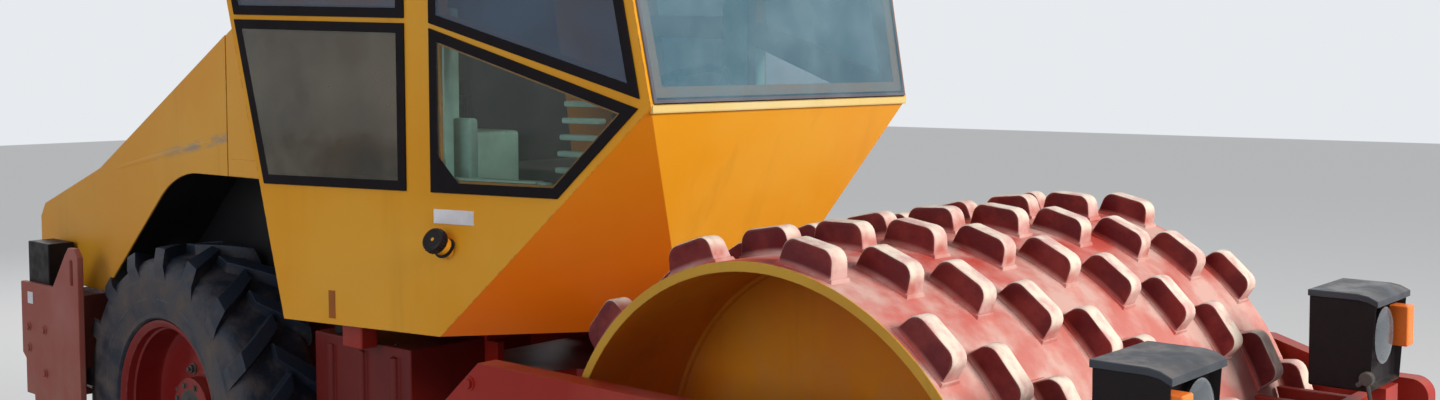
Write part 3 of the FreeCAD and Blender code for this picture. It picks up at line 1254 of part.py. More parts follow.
def doorOutline(stile=0, corner=0):
    """Door's outline, its hinge side moved forward by a stile, its upper hinge corner cut off."""
    spots = [(doorFront, low), (doorFront, high), (rearAt(high) + margin + stile + corner, high)]
    if corner:
        spots.append((rearAt(high - corner) + margin + stile, high - corner))
    spots.append((rearAt(low) + margin + stile, low))
    return windingFixed([onSide(x, z, 1) for x, z in spots], normal)


leaf = panel.common(slab(doorOutline(corner=number("door_corner")), normal, -wallIn * 2, wallIn * 3))
opening = slab(shrink(doorOutline(), -number("door_gap")), normal, -wallIn * 2, wallIn * 3)
fixed = cutWindows(panel.cut(opening), [panes["front_low"], panes["front_high"]], normal)
limit = shrink(doorOutline(stile=number("door_stile")), number("door_frame"))
limit = Part.Face(Part.makePolygon(limit + limit[:1]))
doorPanes = []
for key in ("rear_low", "rear_high"):
    trimmed = Part.Face(Part.makePolygon(panes[key] + panes[key][:1])).common(limit)
    doorPanes.append(windingFixed([vertex.Point for vertex in trimmed.Wires[0].OrderedVertexes], normal))
leaf = cutWindows(leaf, doorPanes, normal)

hingeLine = (onSide(rearAt(high), high, 1) - onSide(rearAt(low), low, 1)).normalize()
hingeFoot = onSide(rearAt(low) + margin - number("door_gap") / 2, low, 1) + normal * number("hinge_out")
pinRadius, tubeRadius = number("hinge_pin"), number("hinge_tube")
hingeLong, hingeEnd, hingePlay = number("hinge_long"), number("hinge_end"), number("hinge_play")
alongSide = hingeLine.cross(normal).normalize()
if alongSide.x < 0:
    alongSide = alongSide * -1


def hingeBlock(start, length, low, high):
    """Leaf of a hinge on the cab's side, from low to high across the hinge line."""
    thick = number("hinge_leaf")
    corner = start + alongSide * low - normal * (number("hinge_out") + 1)
    points = [corner, corner + alongSide * (high - low), corner + alongSide * (high - low) + normal * thick,
              corner + normal * thick, corner]
    return Part.Face(Part.makePolygon(points)).extrude(hingeLine * length)


# lift-off hinges: the pin stands in the fixed knuckle under the door's knuckle
for share in (0.13, 0.86):
    start = hingeFoot + hingeLine * (share * (high - low))
    near, far = tubeRadius - number("hinge_leaf") + 2, tubeRadius - number("hinge_leaf") + 2 + number("hinge_leaf_long")
    knuckle = Part.makeCylinder(tubeRadius, hingeLong, start, hingeLine)
    leaf = leaf.fuse([knuckle, hingeBlock(start, hingeLong, near, far)])
    leaf = leaf.cut(Part.makeCylinder(pinRadius + number("joint_gap"), hingeLong + 2, start - hingeLine, hingeLine))
    pin = Part.makeCylinder(pinRadius, hingeLong + hingeEnd, start - hingeLine * hingeEnd, hingeLine)
    spot = start - hingeLine * (hingeEnd + hingePlay)
    knuckle = Part.makeCylinder(tubeRadius, hingeEnd, spot, hingeLine)
    fixed = fixed.fuse([pin, knuckle, hingeBlock(spot, hingeEnd, -far, -near)])


def makeHandle():
    """Bent grab handle on the door, with two feet."""
    out, thick, long = number("handle_out"), number("handle_thick"), number("handle_long")
    foot = onSide(doorFront - number("handle_inset"), number("sill_level") - 1.5 * long, 1)
    across = normal.cross(Vector(0, 0, 1)).normalize() * thick
    section = [(-1, 0), (out, 0), (out, long), (-1, long), (-1, long - thick), (out - thick, long - thick),
               (out - thick, thick), (-1, thick)]
    points = [foot + normal * u + Vector(0, 0, v) for u, v in section]
    return Part.Face(Part.makePolygon(points + points[:1])).extrude(across)


leaf = leaf.fuse(makeHandle())
keep(feature("cab_side_left", fixed))
keep(feature("side_glass_left", Part.makeCompound([makePane(panes[key], normal) for key in ("front_low", "front_high")])))
keep(feature("door_panel", leaf))
keep(feature("door_glass", Part.makeCompound([makePane(points, normal) for points in doorPanes])))

# front: nose panel with its two facets, windscreen frame, rear wall, floor

nose = mitred([right["belt"], left["belt"], left["nose"], right["nose"]],
              [rightIn["belt"], leftIn["belt"], leftIn["nose"], rightIn["nose"]])
facets = []
for corners, inner in ((right, rightIn), (left, leftIn)):
    outer, within = ring(corners, inner, ("belt", "knee", "nose"))
    facets.append(mitred(outer, within))
keep(feature("cab_nose", nose.multiFuse(facets)))

screenOuter = [right["belt"], left["belt"], left["brow"], right["brow"]]
screenInner = [rightIn["belt"], leftIn["belt"], leftIn["brow"], rightIn["brow"]]
screenNormal = (left["belt"] - right["belt"]).cross(right["brow"] - right["belt"]).normalize()
screenNormal = screenNormal if screenNormal.x > 0 else screenNormal * -1
screenPane = windingFixed(shrink(windingFixed(screenOuter, screenNormal), number("screen_edge")), screenNormal)
keep(feature("screen_frame", cutWindows(mitred(screenOuter, screenInner),
                                        [shrink(screenPane, number("screen_lap"))], screenNormal)))
keep(feature("windscreen", makePane(screenPane, screenNormal)))

rearOuter = [right["heel"], left["heel"], left["crown"], right["crown"]]
rearInner = [rightIn["heel"], leftIn["heel"], leftIn["crown"], rightIn["crown"]]
rearNormal = (left["heel"] - right["heel"]).cross(right["crown"] - right["heel"]).normalize()
rearNormal = rearNormal if rearNormal.x < 0 else rearNormal * -1
paneLow = number("rear_pane_low")
backHalf = halfAt(rearAt(paneLow)) - number("rear_pane_inset")
backTop = number("cab_top") - 2 * number("window_margin")
rearPane = windingFixed([Vector(rearAt(paneLow), -backHalf, paneLow), Vector(rearAt(paneLow), backHalf, paneLow),
                         Vector(rearAt(backTop), backHalf, backTop), Vector(rearAt(backTop), -backHalf, backTop)], rearNormal)
keep(feature("cab_rear", cutWindows(mitred(rearOuter, rearInner), [rearPane], rearNormal)))
keep(feature("rear_glass", makePane(rearPane, rearNormal)))

outer = [right["knee"], right["nose"], left["nose"], left["knee"], left["heel"], right["heel"]]
within = [rightIn["knee"], rightIn["nose"], leftIn["nose"], leftIn["knee"], leftIn["heel"], rightIn["heel"]]
keep(feature("cab_floor", mitred(outer, within)))


def makeRoof():
    """Roof slab with overhanging rounded corners and a chamfered top."""
    lip, thick, top = number("roof_lip"), number("roof_thick"), number("cab_top")
    corners = windingFixed([right["brow"], left["brow"], left["crown"], right["crown"]], Vector(0, 0, 1))
    roof = slab(shrink(corners, -lip), Vector(0, 0, 1), 0, thick)
    upright = [edge for edge in roof.Edges if abs(edge.Vertexes[0].Z - edge.Vertexes[-1].Z) > thick * 0.9]
    roof = roof.makeFillet(number("roof_round"), upright)
    rim = [edge for edge in roof.Edges if min(vertex.Z for vertex in edge.Vertexes) > top + thick - 1]
    return roof.makeChamfer(number("roof_chamfer"), rim)


keep(feature("cab_roof", makeRoof()))

# inside the cab

seatTop = "cab_floor_top + seat_base_high"
seatBase = newBody("seat_base")
box(seatBase, "pedestal",
    ("drum_x - seat_front - seat_long + seat_base_inset", "-seat_wide / 2 + seat_base_inset", "cab_floor_top"),
    ("drum_x - seat_front - seat_base_inset", "seat_wide / 2 - seat_base_inset", seatTop))
keep(seatBase)

seat = newBody("seat")
box(seat, "cushion", ("drum_x - seat_front - seat_long", "-seat_wide / 2", seatTop),
    ("drum_x - seat_front", "seat_wide / 2", seatTop + " + cushion_high"))
foot = "drum_x - seat_front - seat_long"
back = [(foot + " + backrest_thick", seatTop + " + cushion_high - 20"), (foot, seatTop + " + cushion_high - 20"),
        (foot + " - backrest_lean", seatTop + " + cushion_high + backrest_high"),
        (foot + " - backrest_lean + backrest_thin", seatTop + " + cushion_high + backrest_high")]
pad(seat, outline(seat, "back", "XZ_Plane", back), "backrest_wide", both=True)
keep(seat)

console = newBody("console")
box(console, "side_box", ("drum_x - console_front - console_long", "-console_out - console_wide", "cab_floor_top"),
    ("drum_x - console_front", "-console_out", "cab_floor_top + console_high"))
keep(console)

dash = newBody("dashboard")
dashLow = "cab_floor_top + dash_low"
dashTop = "cab_belt - dash_drop"
lean = "(cab_nose - cab_front) / (cab_belt - cab_bottom)"
front = "drum_x - (cab_front + (cab_belt - (%s)) * " + lean + " + dash_gap)"
board = [(front % dashLow, dashLow), (front % dashTop, dashTop), ("drum_x - dash_rear + dash_hood", dashTop + " + dash_rise"),
         ("drum_x - dash_rear", dashTop + " - 2 * dash_rise"), ("drum_x - dash_rear", dashLow)]
pad(dash, outline(dash, "board", "XZ_Plane", board), "dash_wide", both=True)
stand = [("drum_x - dash_stand_foot", "cab_floor_top"), ("drum_x - dash_stand_foot - dash_stand_long", "cab_floor_top"),
         ("drum_x - dash_rear", dashLow + " + 10"), ("drum_x - dash_rear + dash_stand_long", dashLow + " + 10")]
pad(dash, outline(dash, "stand", "XZ_Plane", stand), "dash_stand", both=True)
keep(dash)

tilt = math.radians(number("column_tilt"))
columnFoot = Vector(drumX - number("dash_rear") - number("column_back"), 0, number("cab_belt") - number("column_level"))
columnAxis = Vector(-math.sin(tilt), 0, math.cos(tilt))


def makeColumn():
    """Column with its shaft, held by a bracket behind the dashboard."""
    side = number("column_bracket")
    post = Part.makeCylinder(number("column_radius"), number("column_long"), columnFoot, columnAxis)
    shaft = Part.makeCylinder(number("shaft_radius"), number("wheel_seat") + number("spoke_thick"), columnFoot, columnAxis)
    start = columnFoot.x - number("column_radius") / 2
    bracket = Part.makeBox(drumX - number("dash_rear") - number("seat_gap") - start, side, side,
                           Vector(start, -side / 2, columnFoot.z - side / 2))
    return post.fuse([shaft, bracket])


def makeSteeringWheel():
    """Rim turned from a square section, three spokes and a hub."""
    radius, grip, thick = number("wheel_radius"), number("wheel_grip"), number("spoke_thick")
    hub = number("wheel_hub")
    wheel = turned([(radius - grip, -grip), (radius + grip, -grip), (radius + grip, grip), (radius - grip, grip)])
    bore = number("shaft_radius") + number("joint_gap")
    pieces = [Part.makeCylinder(hub, hub / 2 + thick, Vector(0, 0, -hub / 2))]
    wide = number("spoke_wide")
    for step in range(3):
        spoke = Part.makeBox(radius - hub / 2, wide, thick, Vector(hub / 2, -wide / 2, -thick))
        spoke.rotate(Vector(0, 0, 0), Vector(0, 0, 1), 90 + 120 * step)
        pieces.append(spoke)
    wheel = wheel.multiFuse(pieces).cut(Part.makeCylinder(bore, hub, Vector(0, 0, -hub / 2 - 1)))
    wheel.Placement = FreeCAD.Placement(columnFoot + columnAxis * number("wheel_seat"),
                                        FreeCAD.Rotation(Vector(0, 0, 1), columnAxis))
    return wheel


keep(feature("steering_column", makeColumn()))
keep(feature("steering_wheel", makeSteeringWheel()))

# steps under the door: treads between two side plates on the tank's face

steps = newBody("steps")
face = "tank_out + seat_gap"
stepX = "tank_x - tread_start"
for index in range(2):
    level = "tank_low + %d * tread_rise" % index
    box(steps, "tread_%d" % index, (stepX + " - tread_long", face, level),
        (stepX, face + " + tread_wide", level + " + tread_thick"))
for name, x in (("front", stepX), ("rear", stepX + " - tread_long - cheek_plate")):
    box(steps, "cheek_" + name, (x, face, "tank_low"),
        (x + " + cheek_plate", face + " + tread_wide", "tank_low + tread_rise + tread_thick + cheek_over"))
keep(steps)

doc.recompute()
os.makedirs("parts", exist_ok=True)
for item in parts:
    state = " ".join(item.State)
    if "Invalid" in state or "Error" in state or not item.Shape.isValid():
        raise RuntimeError("%s did not build" % item.Label)
    item.Shape.exportStep("parts/%s.step" % item.Label)
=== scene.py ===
import json
import math
import random

import bpy
from mathutils import Matrix, Vector

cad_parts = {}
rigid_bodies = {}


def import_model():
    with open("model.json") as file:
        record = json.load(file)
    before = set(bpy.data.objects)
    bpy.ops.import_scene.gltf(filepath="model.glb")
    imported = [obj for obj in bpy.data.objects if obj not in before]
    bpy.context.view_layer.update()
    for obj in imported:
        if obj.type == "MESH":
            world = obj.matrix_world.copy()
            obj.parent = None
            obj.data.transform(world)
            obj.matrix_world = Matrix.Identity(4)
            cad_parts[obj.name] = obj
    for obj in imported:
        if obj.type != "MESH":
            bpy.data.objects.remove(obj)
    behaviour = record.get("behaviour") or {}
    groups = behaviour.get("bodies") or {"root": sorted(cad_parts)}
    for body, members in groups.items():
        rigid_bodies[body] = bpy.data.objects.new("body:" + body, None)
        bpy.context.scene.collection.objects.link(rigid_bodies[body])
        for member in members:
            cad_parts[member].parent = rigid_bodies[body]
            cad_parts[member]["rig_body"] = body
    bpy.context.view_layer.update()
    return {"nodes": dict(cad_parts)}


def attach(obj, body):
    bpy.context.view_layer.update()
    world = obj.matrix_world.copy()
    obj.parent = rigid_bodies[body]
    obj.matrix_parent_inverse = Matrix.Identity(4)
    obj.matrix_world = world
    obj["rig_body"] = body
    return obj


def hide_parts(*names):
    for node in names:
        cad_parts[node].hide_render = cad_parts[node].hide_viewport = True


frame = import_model()
random.seed(7)

# places that most pieces use, in metres; side is -1 on the right and 1 on the left
drumX, drumZ = 1.355, 0.7001
drumMiddle = (drumX, 0, drumZ)
axleX, axleZ = -1.273, 0.578
weldGap = 0.00005  # vertices closer than this are merged


# selection and small modelling tools

def deselectAll():
    if bpy.context.object and bpy.context.object.mode != "OBJECT":
        bpy.ops.object.mode_set(mode="OBJECT")
    bpy.ops.object.select_all(action="DESELECT")


def pick(piece):
    deselectAll()
    piece.select_set(True)
    bpy.context.view_layer.objects.active = piece
    return piece


def toEdit(piece, mode="FACE", action="SELECT"):
    pick(piece)
    bpy.ops.object.mode_set(mode="EDIT")
    bpy.ops.mesh.select_mode(type=mode)
    bpy.ops.mesh.select_all(action=action)


def toObject():
    bpy.ops.object.mode_set(mode="OBJECT")


def pickFaces(piece, test):
    toEdit(piece, "FACE", "DESELECT")
    toObject()
    for face in piece.data.polygons:
        face.select = bool(test(face.center, face.normal))
    bpy.ops.object.mode_set(mode="EDIT")


def pickEdges(piece, test):
    toEdit(piece, "EDGE", "DESELECT")
    toObject()
    spots = [vertex.co for vertex in piece.data.vertices]
    for edge in piece.data.edges:
        edge.select = bool(test(*(spots[index] for index in edge.vertices)))
    bpy.ops.object.mode_set(mode="EDIT")


def facesUp(centre, normal):
    return normal.z > 0.9


def facesAhead(centre, normal):
    return normal.x > 0.9


# Insets the faces that pass the test and moves them, as a press does
def pressFaces(piece, test, inset, move):
    pickFaces(piece, test)
    bpy.ops.mesh.inset(thickness=inset)
    bpy.ops.transform.translate(value=move)
    toObject()


def narrowTop(piece, share):
    pickFaces(piece, facesUp)
    bpy.ops.transform.resize(value=share, center_override=(0, 0, 0))
    toObject()


# Puts one of the piece's finishes on the faces that pass the test
def finishFaces(piece, index, test):
    pickFaces(piece, test)
    piece.active_material_index = index
    bpy.ops.object.material_slot_assign()
    toObject()


def subdivided(piece, cuts):
    toEdit(piece)
    bpy.ops.mesh.subdivide(number_cuts=cuts)
    toObject()
    return piece


def outward(piece):
    toEdit(piece)
    bpy.ops.mesh.remove_doubles(threshold=weldGap)
    bpy.ops.mesh.normals_make_consistent(inside=False)
    toObject()
    return piece


def applyAll(piece):
    pick(piece)
    for modifier in list(piece.modifiers):
        bpy.ops.object.modifier_apply(modifier=modifier.name)
    return piece


def bevelEdges(piece, width, segments=2, angle=30):
    bevel = piece.modifiers.new("bevel", "BEVEL")
    bevel.width, bevel.segments = width, segments
    bevel.limit_method, bevel.angle_limit = "ANGLE", math.radians(angle)
    bevel.miter_outer = "MITER_ARC"
    return applyAll(piece)


def smooth(piece, angle=35):
    pick(piece)
    bpy.ops.object.shade_smooth_by_angle(angle=math.radians(angle))
    weighted = piece.modifiers.new("weighted", "WEIGHTED_NORMAL")  # keeps broad faces flat
    weighted.keep_sharp = True
    return applyAll(piece)


def zeroPlace(piece):
    pick(piece)
    bpy.ops.object.transform_apply(location=True, rotation=True, scale=True)
    return piece


def joined(parts):
    deselectAll()
    for part in parts:
        part.select_set(True)
    bpy.context.view_layer.objects.active = parts[0]
    if len(parts) > 1:
        bpy.ops.object.join()
    return bpy.context.object


# One piece from what a function makes for the right side and for the left
def bothSides(make):
    return joined([make(side) for side in (-1, 1)])


def copyOf(piece):
    twin = piece.copy()
    twin.data = piece.data.copy()
    bpy.context.scene.collection.objects.link(twin)
    return twin


def moved(piece, offset):
    piece.data.transform(Matrix.Translation(offset))
    return piece


# Turns a mesh about a line through a place
def turnedAbout(piece, angle, centre=(0, 0, 0), axis="Y"):
    move = Matrix.Translation(centre)
    piece.data.transform(move @ Matrix.Rotation(angle, 4, axis) @ move.inverted())
    return piece


# Names a finished piece, gives it its body and its finishes; the slot it takes is not used
def placed(piece, name, body, slot, *finishes):
    zeroPlace(piece)
    piece.name = name
    piece.data.name = name
    if finishes:
        piece.data.materials.clear()
        for finish in finishes:
            piece.data.materials.append(finish)
    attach(piece, body)
    return piece


# Box between two corners with its edges rounded
def block(low, high, bevel=0.004, segments=2):
    low, high = Vector(low), Vector(high)
    deselectAll()
    bpy.ops.mesh.primitive_cube_add(size=1, location=(low + high) / 2)
    piece = bpy.context.object
    piece.scale = [abs(v) for v in (high - low)]
    zeroPlace(piece)
    return bevelEdges(piece, bevel, segments) if bevel else piece


# Round bar between two places
def rod(start, end, radius, sides=24, bevel=0.0):
    start, end = Vector(start), Vector(end)
    along = end - start
    deselectAll()
    bpy.ops.mesh.primitive_cylinder_add(vertices=sides, radius=radius, depth=along.length,
                                        location=(start + end) / 2)
    piece = bpy.context.object
    piece.rotation_mode = "QUATERNION"
    piece.rotation_quaternion = along.to_track_quat("Z", "Y")
    zeroPlace(piece)
    return bevelEdges(piece, bevel, 2, 50) if bevel else piece


# Hexagon head with its washer
def boltHead(spot, along, radius, high):
    spot, along = Vector(spot), Vector(along).normalized()
    head = rod(spot, spot + along * high, radius, 6, 0.0012)
    washer = rod(spot, spot + along * high * 0.28, radius * 1.45, 20, 0.0008)
    return joined([washer, head])


# A line of vertices through the places, all selected in edit mode
def drawLine(spots, closed):
    deselectAll()
    bpy.ops.mesh.primitive_plane_add(size=0.01, location=spots[0])
    piece = zeroPlace(bpy.context.object)
    toEdit(piece, "VERT")
    bpy.ops.mesh.merge(type="CENTER")
    for here, there in zip(spots, spots[1:] + spots[:1] if closed else spots[1:]):
        bpy.ops.mesh.extrude_region_move(TRANSFORM_OT_translate={"value": there - here})
    bpy.ops.mesh.select_all(action="SELECT")
    return piece


# Spins a closed profile of (radius, place along the axis) round a line along the axis
def lathe(profile, centre=(0, 0, 0), axis=(0, 1, 0), steps=96):
    centre, axis = Vector(centre), Vector(axis)
    out = Vector((0, 0, 1)) if abs(axis.z) < 0.9 else Vector((1, 0, 0))
    piece = drawLine([centre + out * radius + axis * place for radius, place in profile], True)
    bpy.ops.mesh.remove_doubles(threshold=weldGap)
    bpy.ops.mesh.select_all(action="SELECT")
    bpy.ops.mesh.spin(steps=steps, angle=2 * math.pi, center=centre, axis=axis)
    toObject()
    return outward(piece)


def mirrored(profile, side):
    return [(radius, side * place) for radius, place in profile]


# Flat plate from a ring of corners, thickened along its normal
def plateOf(spots, thick, bevel=0.0):
    spots = [Vector(spot) for spot in spots]
    normal = (spots[1] - spots[0]).cross(spots[2] - spots[1]).normalized()
    piece = drawLine(spots, False)
    bpy.ops.mesh.edge_face_add()
    bpy.ops.mesh.extrude_region_move(TRANSFORM_OT_translate={"value": normal * thick})
    toObject()
    outward(piece)
    return bevelEdges(piece, bevel, 2, 50) if bevel else piece


# Copy of a CAD node with welded faces and rounded edges, standing for the node
def dressNode(node, slot, bevel, *finishes, segments=2):
    source = frame["nodes"][node]
    piece = copyOf(source)
    piece.parent = None
    for key in [key for key in piece.keys() if key.startswith("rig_")]:
        del piece[key]
    toEdit(piece)
    bpy.ops.mesh.remove_doubles(threshold=0.0001)
    bpy.ops.mesh.select_all(action="SELECT")
    bpy.ops.mesh.tris_convert_to_quads(face_threshold=math.radians(0.6), shape_threshold=math.radians(120))
    toObject()
    if bevel:
        bevelEdges(piece, bevel, segments)
    smooth(piece)
    placed(piece, node + "_skin", source["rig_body"], slot, *finishes)
    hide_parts(node)
    return piece


# Rows of node, slot, bevel and finish
def dressNodes(*rows):
    for row in rows:
        dressNode(*row)


# Rows of piece, name, slot and finish, all on one body
def placeOnBody(body, *rows):
    for piece, name, slot, finish in rows:
        placed(piece, name, body, slot, finish)


# finishes: small node tools first, which a world takes as well

def shaderOf(finish):
    return finish.node_tree.nodes["Principled BSDF"]


def newFinish(name, rough=0.5, metal=0.0, specular=0.5, coat=0.0):
    finish = bpy.data.materials.new(name)
    finish.use_nodes = True
    for socket, value in (("Roughness", rough), ("Metallic", metal), ("Specular IOR Level", specular),
                          ("Coat Weight", coat)):
        shaderOf(finish).inputs[socket].default_value = value
    return finish


# Puts a number, a colour or another node's output on a socket
def feed(finish, into, value):
    if hasattr(value, "is_output"):
        finish.node_tree.links.new(value, into)
    else:
        into.default_value = value


def addNode(finish, kind, sockets=None, **settings):
    node = finish.node_tree.nodes.new("ShaderNode" + kind)
    for key, value in settings.items():
        setattr(node, key, value)
    for key, value in (sockets or {}).items():
        feed(finish, node.inputs[key], value)
    return node


def setOn(finish, socket, value):
    if socket == "Base Color" and not hasattr(value, "is_output"):
        value = (*value, 1)
    feed(finish, shaderOf(finish).inputs[socket], value)


# Place on the piece, stretched for streaks
def spotIn(finish, stretch=(1, 1, 1)):
    spot = addNode(finish, "TexCoord").outputs["Object"]
    if stretch == (1, 1, 1):
        return spot
    return addNode(finish, "Mapping", {"Scale": stretch, "Vector": spot}).outputs["Vector"]


def rangeIn(finish, value, low, high, toLow=0.0, toHigh=1.0):
    sockets = {"Value": value, "From Min": low, "From Max": high, "To Min": toLow, "To Max": toHigh}
    return addNode(finish, "MapRange", sockets, interpolation_type="SMOOTHSTEP").outputs["Result"]


# Cloudy mask: 0 under low, 1 over high
def noiseIn(finish, scale, low, high, detail=4, stretch=(1, 1, 1)):
    sockets = {"Scale": scale, "Detail": detail, "Roughness": 0.55, "Vector": spotIn(finish, stretch)}
    return rangeIn(finish, addNode(finish, "TexNoise", sockets).outputs["Fac"], low, high)


def sums(finish, how, a, b=0.0):
    return addNode(finish, "Math", {0: a, 1: b}, operation=how).outputs[0]


def times(finish, a, *others):
    for b in others:
        a = sums(finish, "MULTIPLY", a, b)
    return a


# Colour a, giving way to colour b where the share is 1
def blendOf(finish, share, a, b):
    a, b = (colour if hasattr(colour, "is_output") else (*colour, 1) for colour in (a, b))
    return addNode(finish, "Mix", {"Factor": share, 6: a, 7: b}, data_type="RGBA").outputs[2]


# Lays a colour over the one that the finish has
def tintOver(finish, share, colour):
    before = shaderOf(finish).inputs["Base Color"].links[0].from_socket
    setOn(finish, "Base Color", blendOf(finish, share, before, colour))
    return finish


# How far the surface faces up, along or across, on the piece's own axes
def facing(finish, part="Z"):
    return addNode(finish, "SeparateXYZ", {0: addNode(finish, "TexCoord").outputs["Normal"]}).outputs[part]


def placeOn(finish, part="Z"):
    return addNode(finish, "SeparateXYZ", {0: spotIn(finish)}).outputs[part]


# Distance from an axle that runs across the machine
def awayFrom(finish, x, z):
    x, z = (sums(finish, "SUBTRACT", placeOn(finish, part), start) for part, start in (("X", x), ("Z", z)))
    return sums(finish, "SQRT", sums(finish, "ADD", times(finish, x, x), times(finish, z, z)))


# 1 along sharp edges, worked out from the rounded normal, broken up by clouds
def rubbedEdges(finish, radius, *clouds):
    soft = addNode(finish, "Bevel", {"Radius": radius}, samples=4).outputs["Normal"]
    flat = addNode(finish, "NewGeometry").outputs["Normal"]
    dot = addNode(finish, "VectorMath", {0: soft, 1: flat}, operation="DOT_PRODUCT").outputs["Value"]
    edges = rangeIn(finish, sums(finish, "SUBTRACT", 1.0, dot), 0.02, 0.16)
    return times(finish, edges, noiseIn(finish, *clouds))


def bumpOn(finish, height, strength, distance):
    bump = addNode(finish, "Bump", {"Strength": strength, "Distance": distance, "Height": height})
    setOn(finish, "Normal", bump.outputs["Normal"])


paintLook = {"dustColour": (0.36, 0.25, 0.17), "primer": (0.16, 0.12, 0.1), "orangePeel": 150,
             "edgeRadius": 0.005}


# Sprayed paint: sun-faded clouds, chipped edges, dust on top and splashed low down, streaks
def paintFinish(name, colour, faded, rough=0.36, wear=0.55, dust=0.35, lowDust=0.9, grime=0.25):
    finish = newFinish(name, rough, specular=0.22, coat=0.02)
    shaderOf(finish).inputs["Coat Roughness"].default_value = 0.2
    body = blendOf(finish, noiseIn(finish, 1.7, 0.38, 0.68), colour, faded)
    streaks = noiseIn(finish, 9, 0.52, 0.78, stretch=(1, 1, 0.09))
    body = blendOf(finish, times(finish, streaks, grime), body, tuple(0.55 * part for part in colour))
    settled = times(finish, rangeIn(finish, facing(finish), 0.45, 0.98), noiseIn(finish, 6, 0.3, 0.75))
    splash = times(finish, rangeIn(finish, placeOn(finish), lowDust, lowDust - 0.55),
                   noiseIn(finish, 14, 0.35, 0.7, stretch=(1, 1, 0.6)))
    dusty = times(finish, sums(finish, "MAXIMUM", settled, splash), dust)
    body = blendOf(finish, dusty, body, paintLook["dustColour"])
    chips = times(finish, rubbedEdges(finish, paintLook["edgeRadius"], 38, 0.5, 0.6, 6), wear)
    specks = times(finish, noiseIn(finish, 160, 0.735, 0.76, 2), noiseIn(finish, 3, 0.45, 0.7), wear)
    worn = sums(finish, "MAXIMUM", chips, specks)
    setOn(finish, "Base Color", blendOf(finish, worn, body, paintLook["primer"]))
    setOn(finish, "Roughness", rangeIn(finish, sums(finish, "MAXIMUM", worn, dusty), 0.0, 0.8, rough, 0.82))
    peel = addNode(finish, "TexNoise", {"Scale": paintLook["orangePeel"], "Vector": spotIn(finish)})
    bumpOn(finish, sums(finish, "SUBTRACT", times(finish, peel.outputs["Fac"], 0.25), worn), 0.22, 0.0006)
    return finish


# Panels that lean out over the ground get an orange tint, stronger low down: painted reflected light from
# the red parts below
def paintedRedBounce(finish):
    low = rangeIn(finish, placeOn(finish), 1.66, 1.05, 0.45, 0.92)
    return tintOver(finish, times(finish, rangeIn(finish, facing(finish), -0.42, -0.54), low),
                    colours["bouncedRedOrange"])


# Moulded plastic, rubber or dull metal: grain, rubbed edges and dust
def grainyFinish(name, colour, pale, rough=0.6, grain=420, depth=0.25, dust=0.3, wear=0.4, metal=0.0,
                 specular=0.25):
    finish = newFinish(name, rough, metal, specular)
    body = blendOf(finish, noiseIn(finish, 5, 0.35, 0.7), colour, tuple(1.35 * part for part in colour))
    body = blendOf(finish, times(finish, rubbedEdges(finish, 0.004, 30, 0.4, 0.62), wear), body, pale)
    up = rangeIn(finish, facing(finish), 0.35, 0.95)
    settled = times(finish, up, noiseIn(finish, 11, 0.32, 0.72), dust)
    setOn(finish, "Base Color", blendOf(finish, settled, body, paintLook["dustColour"]))
    clouds = noiseIn(finish, 17, 0.3, 0.75)
    setOn(finish, "Roughness", rangeIn(finish, clouds, 0, 1, rough - 0.08, rough + 0.14))
    bumpOn(finish, noiseIn(finish, grain, 0.3, 0.7, 2), depth, 0.0006)
    return finish


colours = {
    # the orange after the two yellows is painted reflected red light, laid on yellow panels that face down
    "yellow": (0.8, 0.34, 0.016), "yellowFaded": (0.82, 0.39, 0.036), "bouncedRedOrange": (0.82, 0.15, 0.004),
    "red": (0.33, 0.016, 0.009), "redFaded": (0.38, 0.04, 0.026),
    "bumperRed": (0.34, 0.085, 0.065), "bumperFaded": (0.42, 0.16, 0.135),
    "drumRed": (0.5, 0.062, 0.046), "drumDust": (0.62, 0.42, 0.37),
    # the maroon pair is painted shade for the flanks of the drum's feet
    "flankShade": (0.12, 0.008, 0.011), "flankShadeFaded": (0.22, 0.026, 0.022),
    "padCream": (0.78, 0.66, 0.55), "padPink": (0.62, 0.38, 0.35), "padRed": (0.48, 0.14, 0.11),
    # the rubber's blue tone is a painted sky sheen; its bluish-grey scuff is partly a painted highlight
    "rubber": (0.013, 0.019, 0.034), "rubberDust": (0.14, 0.108, 0.095), "rubberScuffAndHighlight": (0.11, 0.115, 0.13),
    "seal": (0.11, 0.11, 0.13), "scuff": (0.3, 0.27, 0.23),
    "cabinGreen": (0.5, 0.88, 0.74), "cabinGreenPale": (0.6, 0.9, 0.8),
}
yellows, reds = (colours["yellow"], colours["yellowFaded"]), (colours["red"], colours["redFaded"])
yellowPaint = paintFinish("cabYellow", *yellows, 0.34, 0.5, 0.2, grime=0.2)
# the nose panels carry the painted reflected red light on their downward faces
nosePaint = paintedRedBounce(paintFinish("noseYellow", *yellows, 0.34, 0.5, 0.2, grime=0.2))
hoodPaint = paintFinish("hoodYellow", *yellows, 0.34, 0.5, 0.25, grime=0.2)
redPaint = paintFinish("frameRed", *reds, 0.42, 0.6, 0.22, 0.9, 0.4)
bumperPaint = paintFinish("bumperRed", colours["bumperRed"], colours["bumperFaded"], 0.55, 0.6, 0.3, 1.0,
                          0.3)
# the tanks get a much darker red than the frame: painted shade of the cab's overhang
tankShadedPaint = paintFinish("tankRedShaded", (0.13, 0.007, 0.005), (0.17, 0.013, 0.01), 0.45, 0.6, 0.08, 0.8, 0.4)
rimPaint = paintFinish("rimRed", (0.21, 0.01, 0.01), (0.27, 0.028, 0.022), 0.4, 0.5, 0.3, 0.6, 0.35)
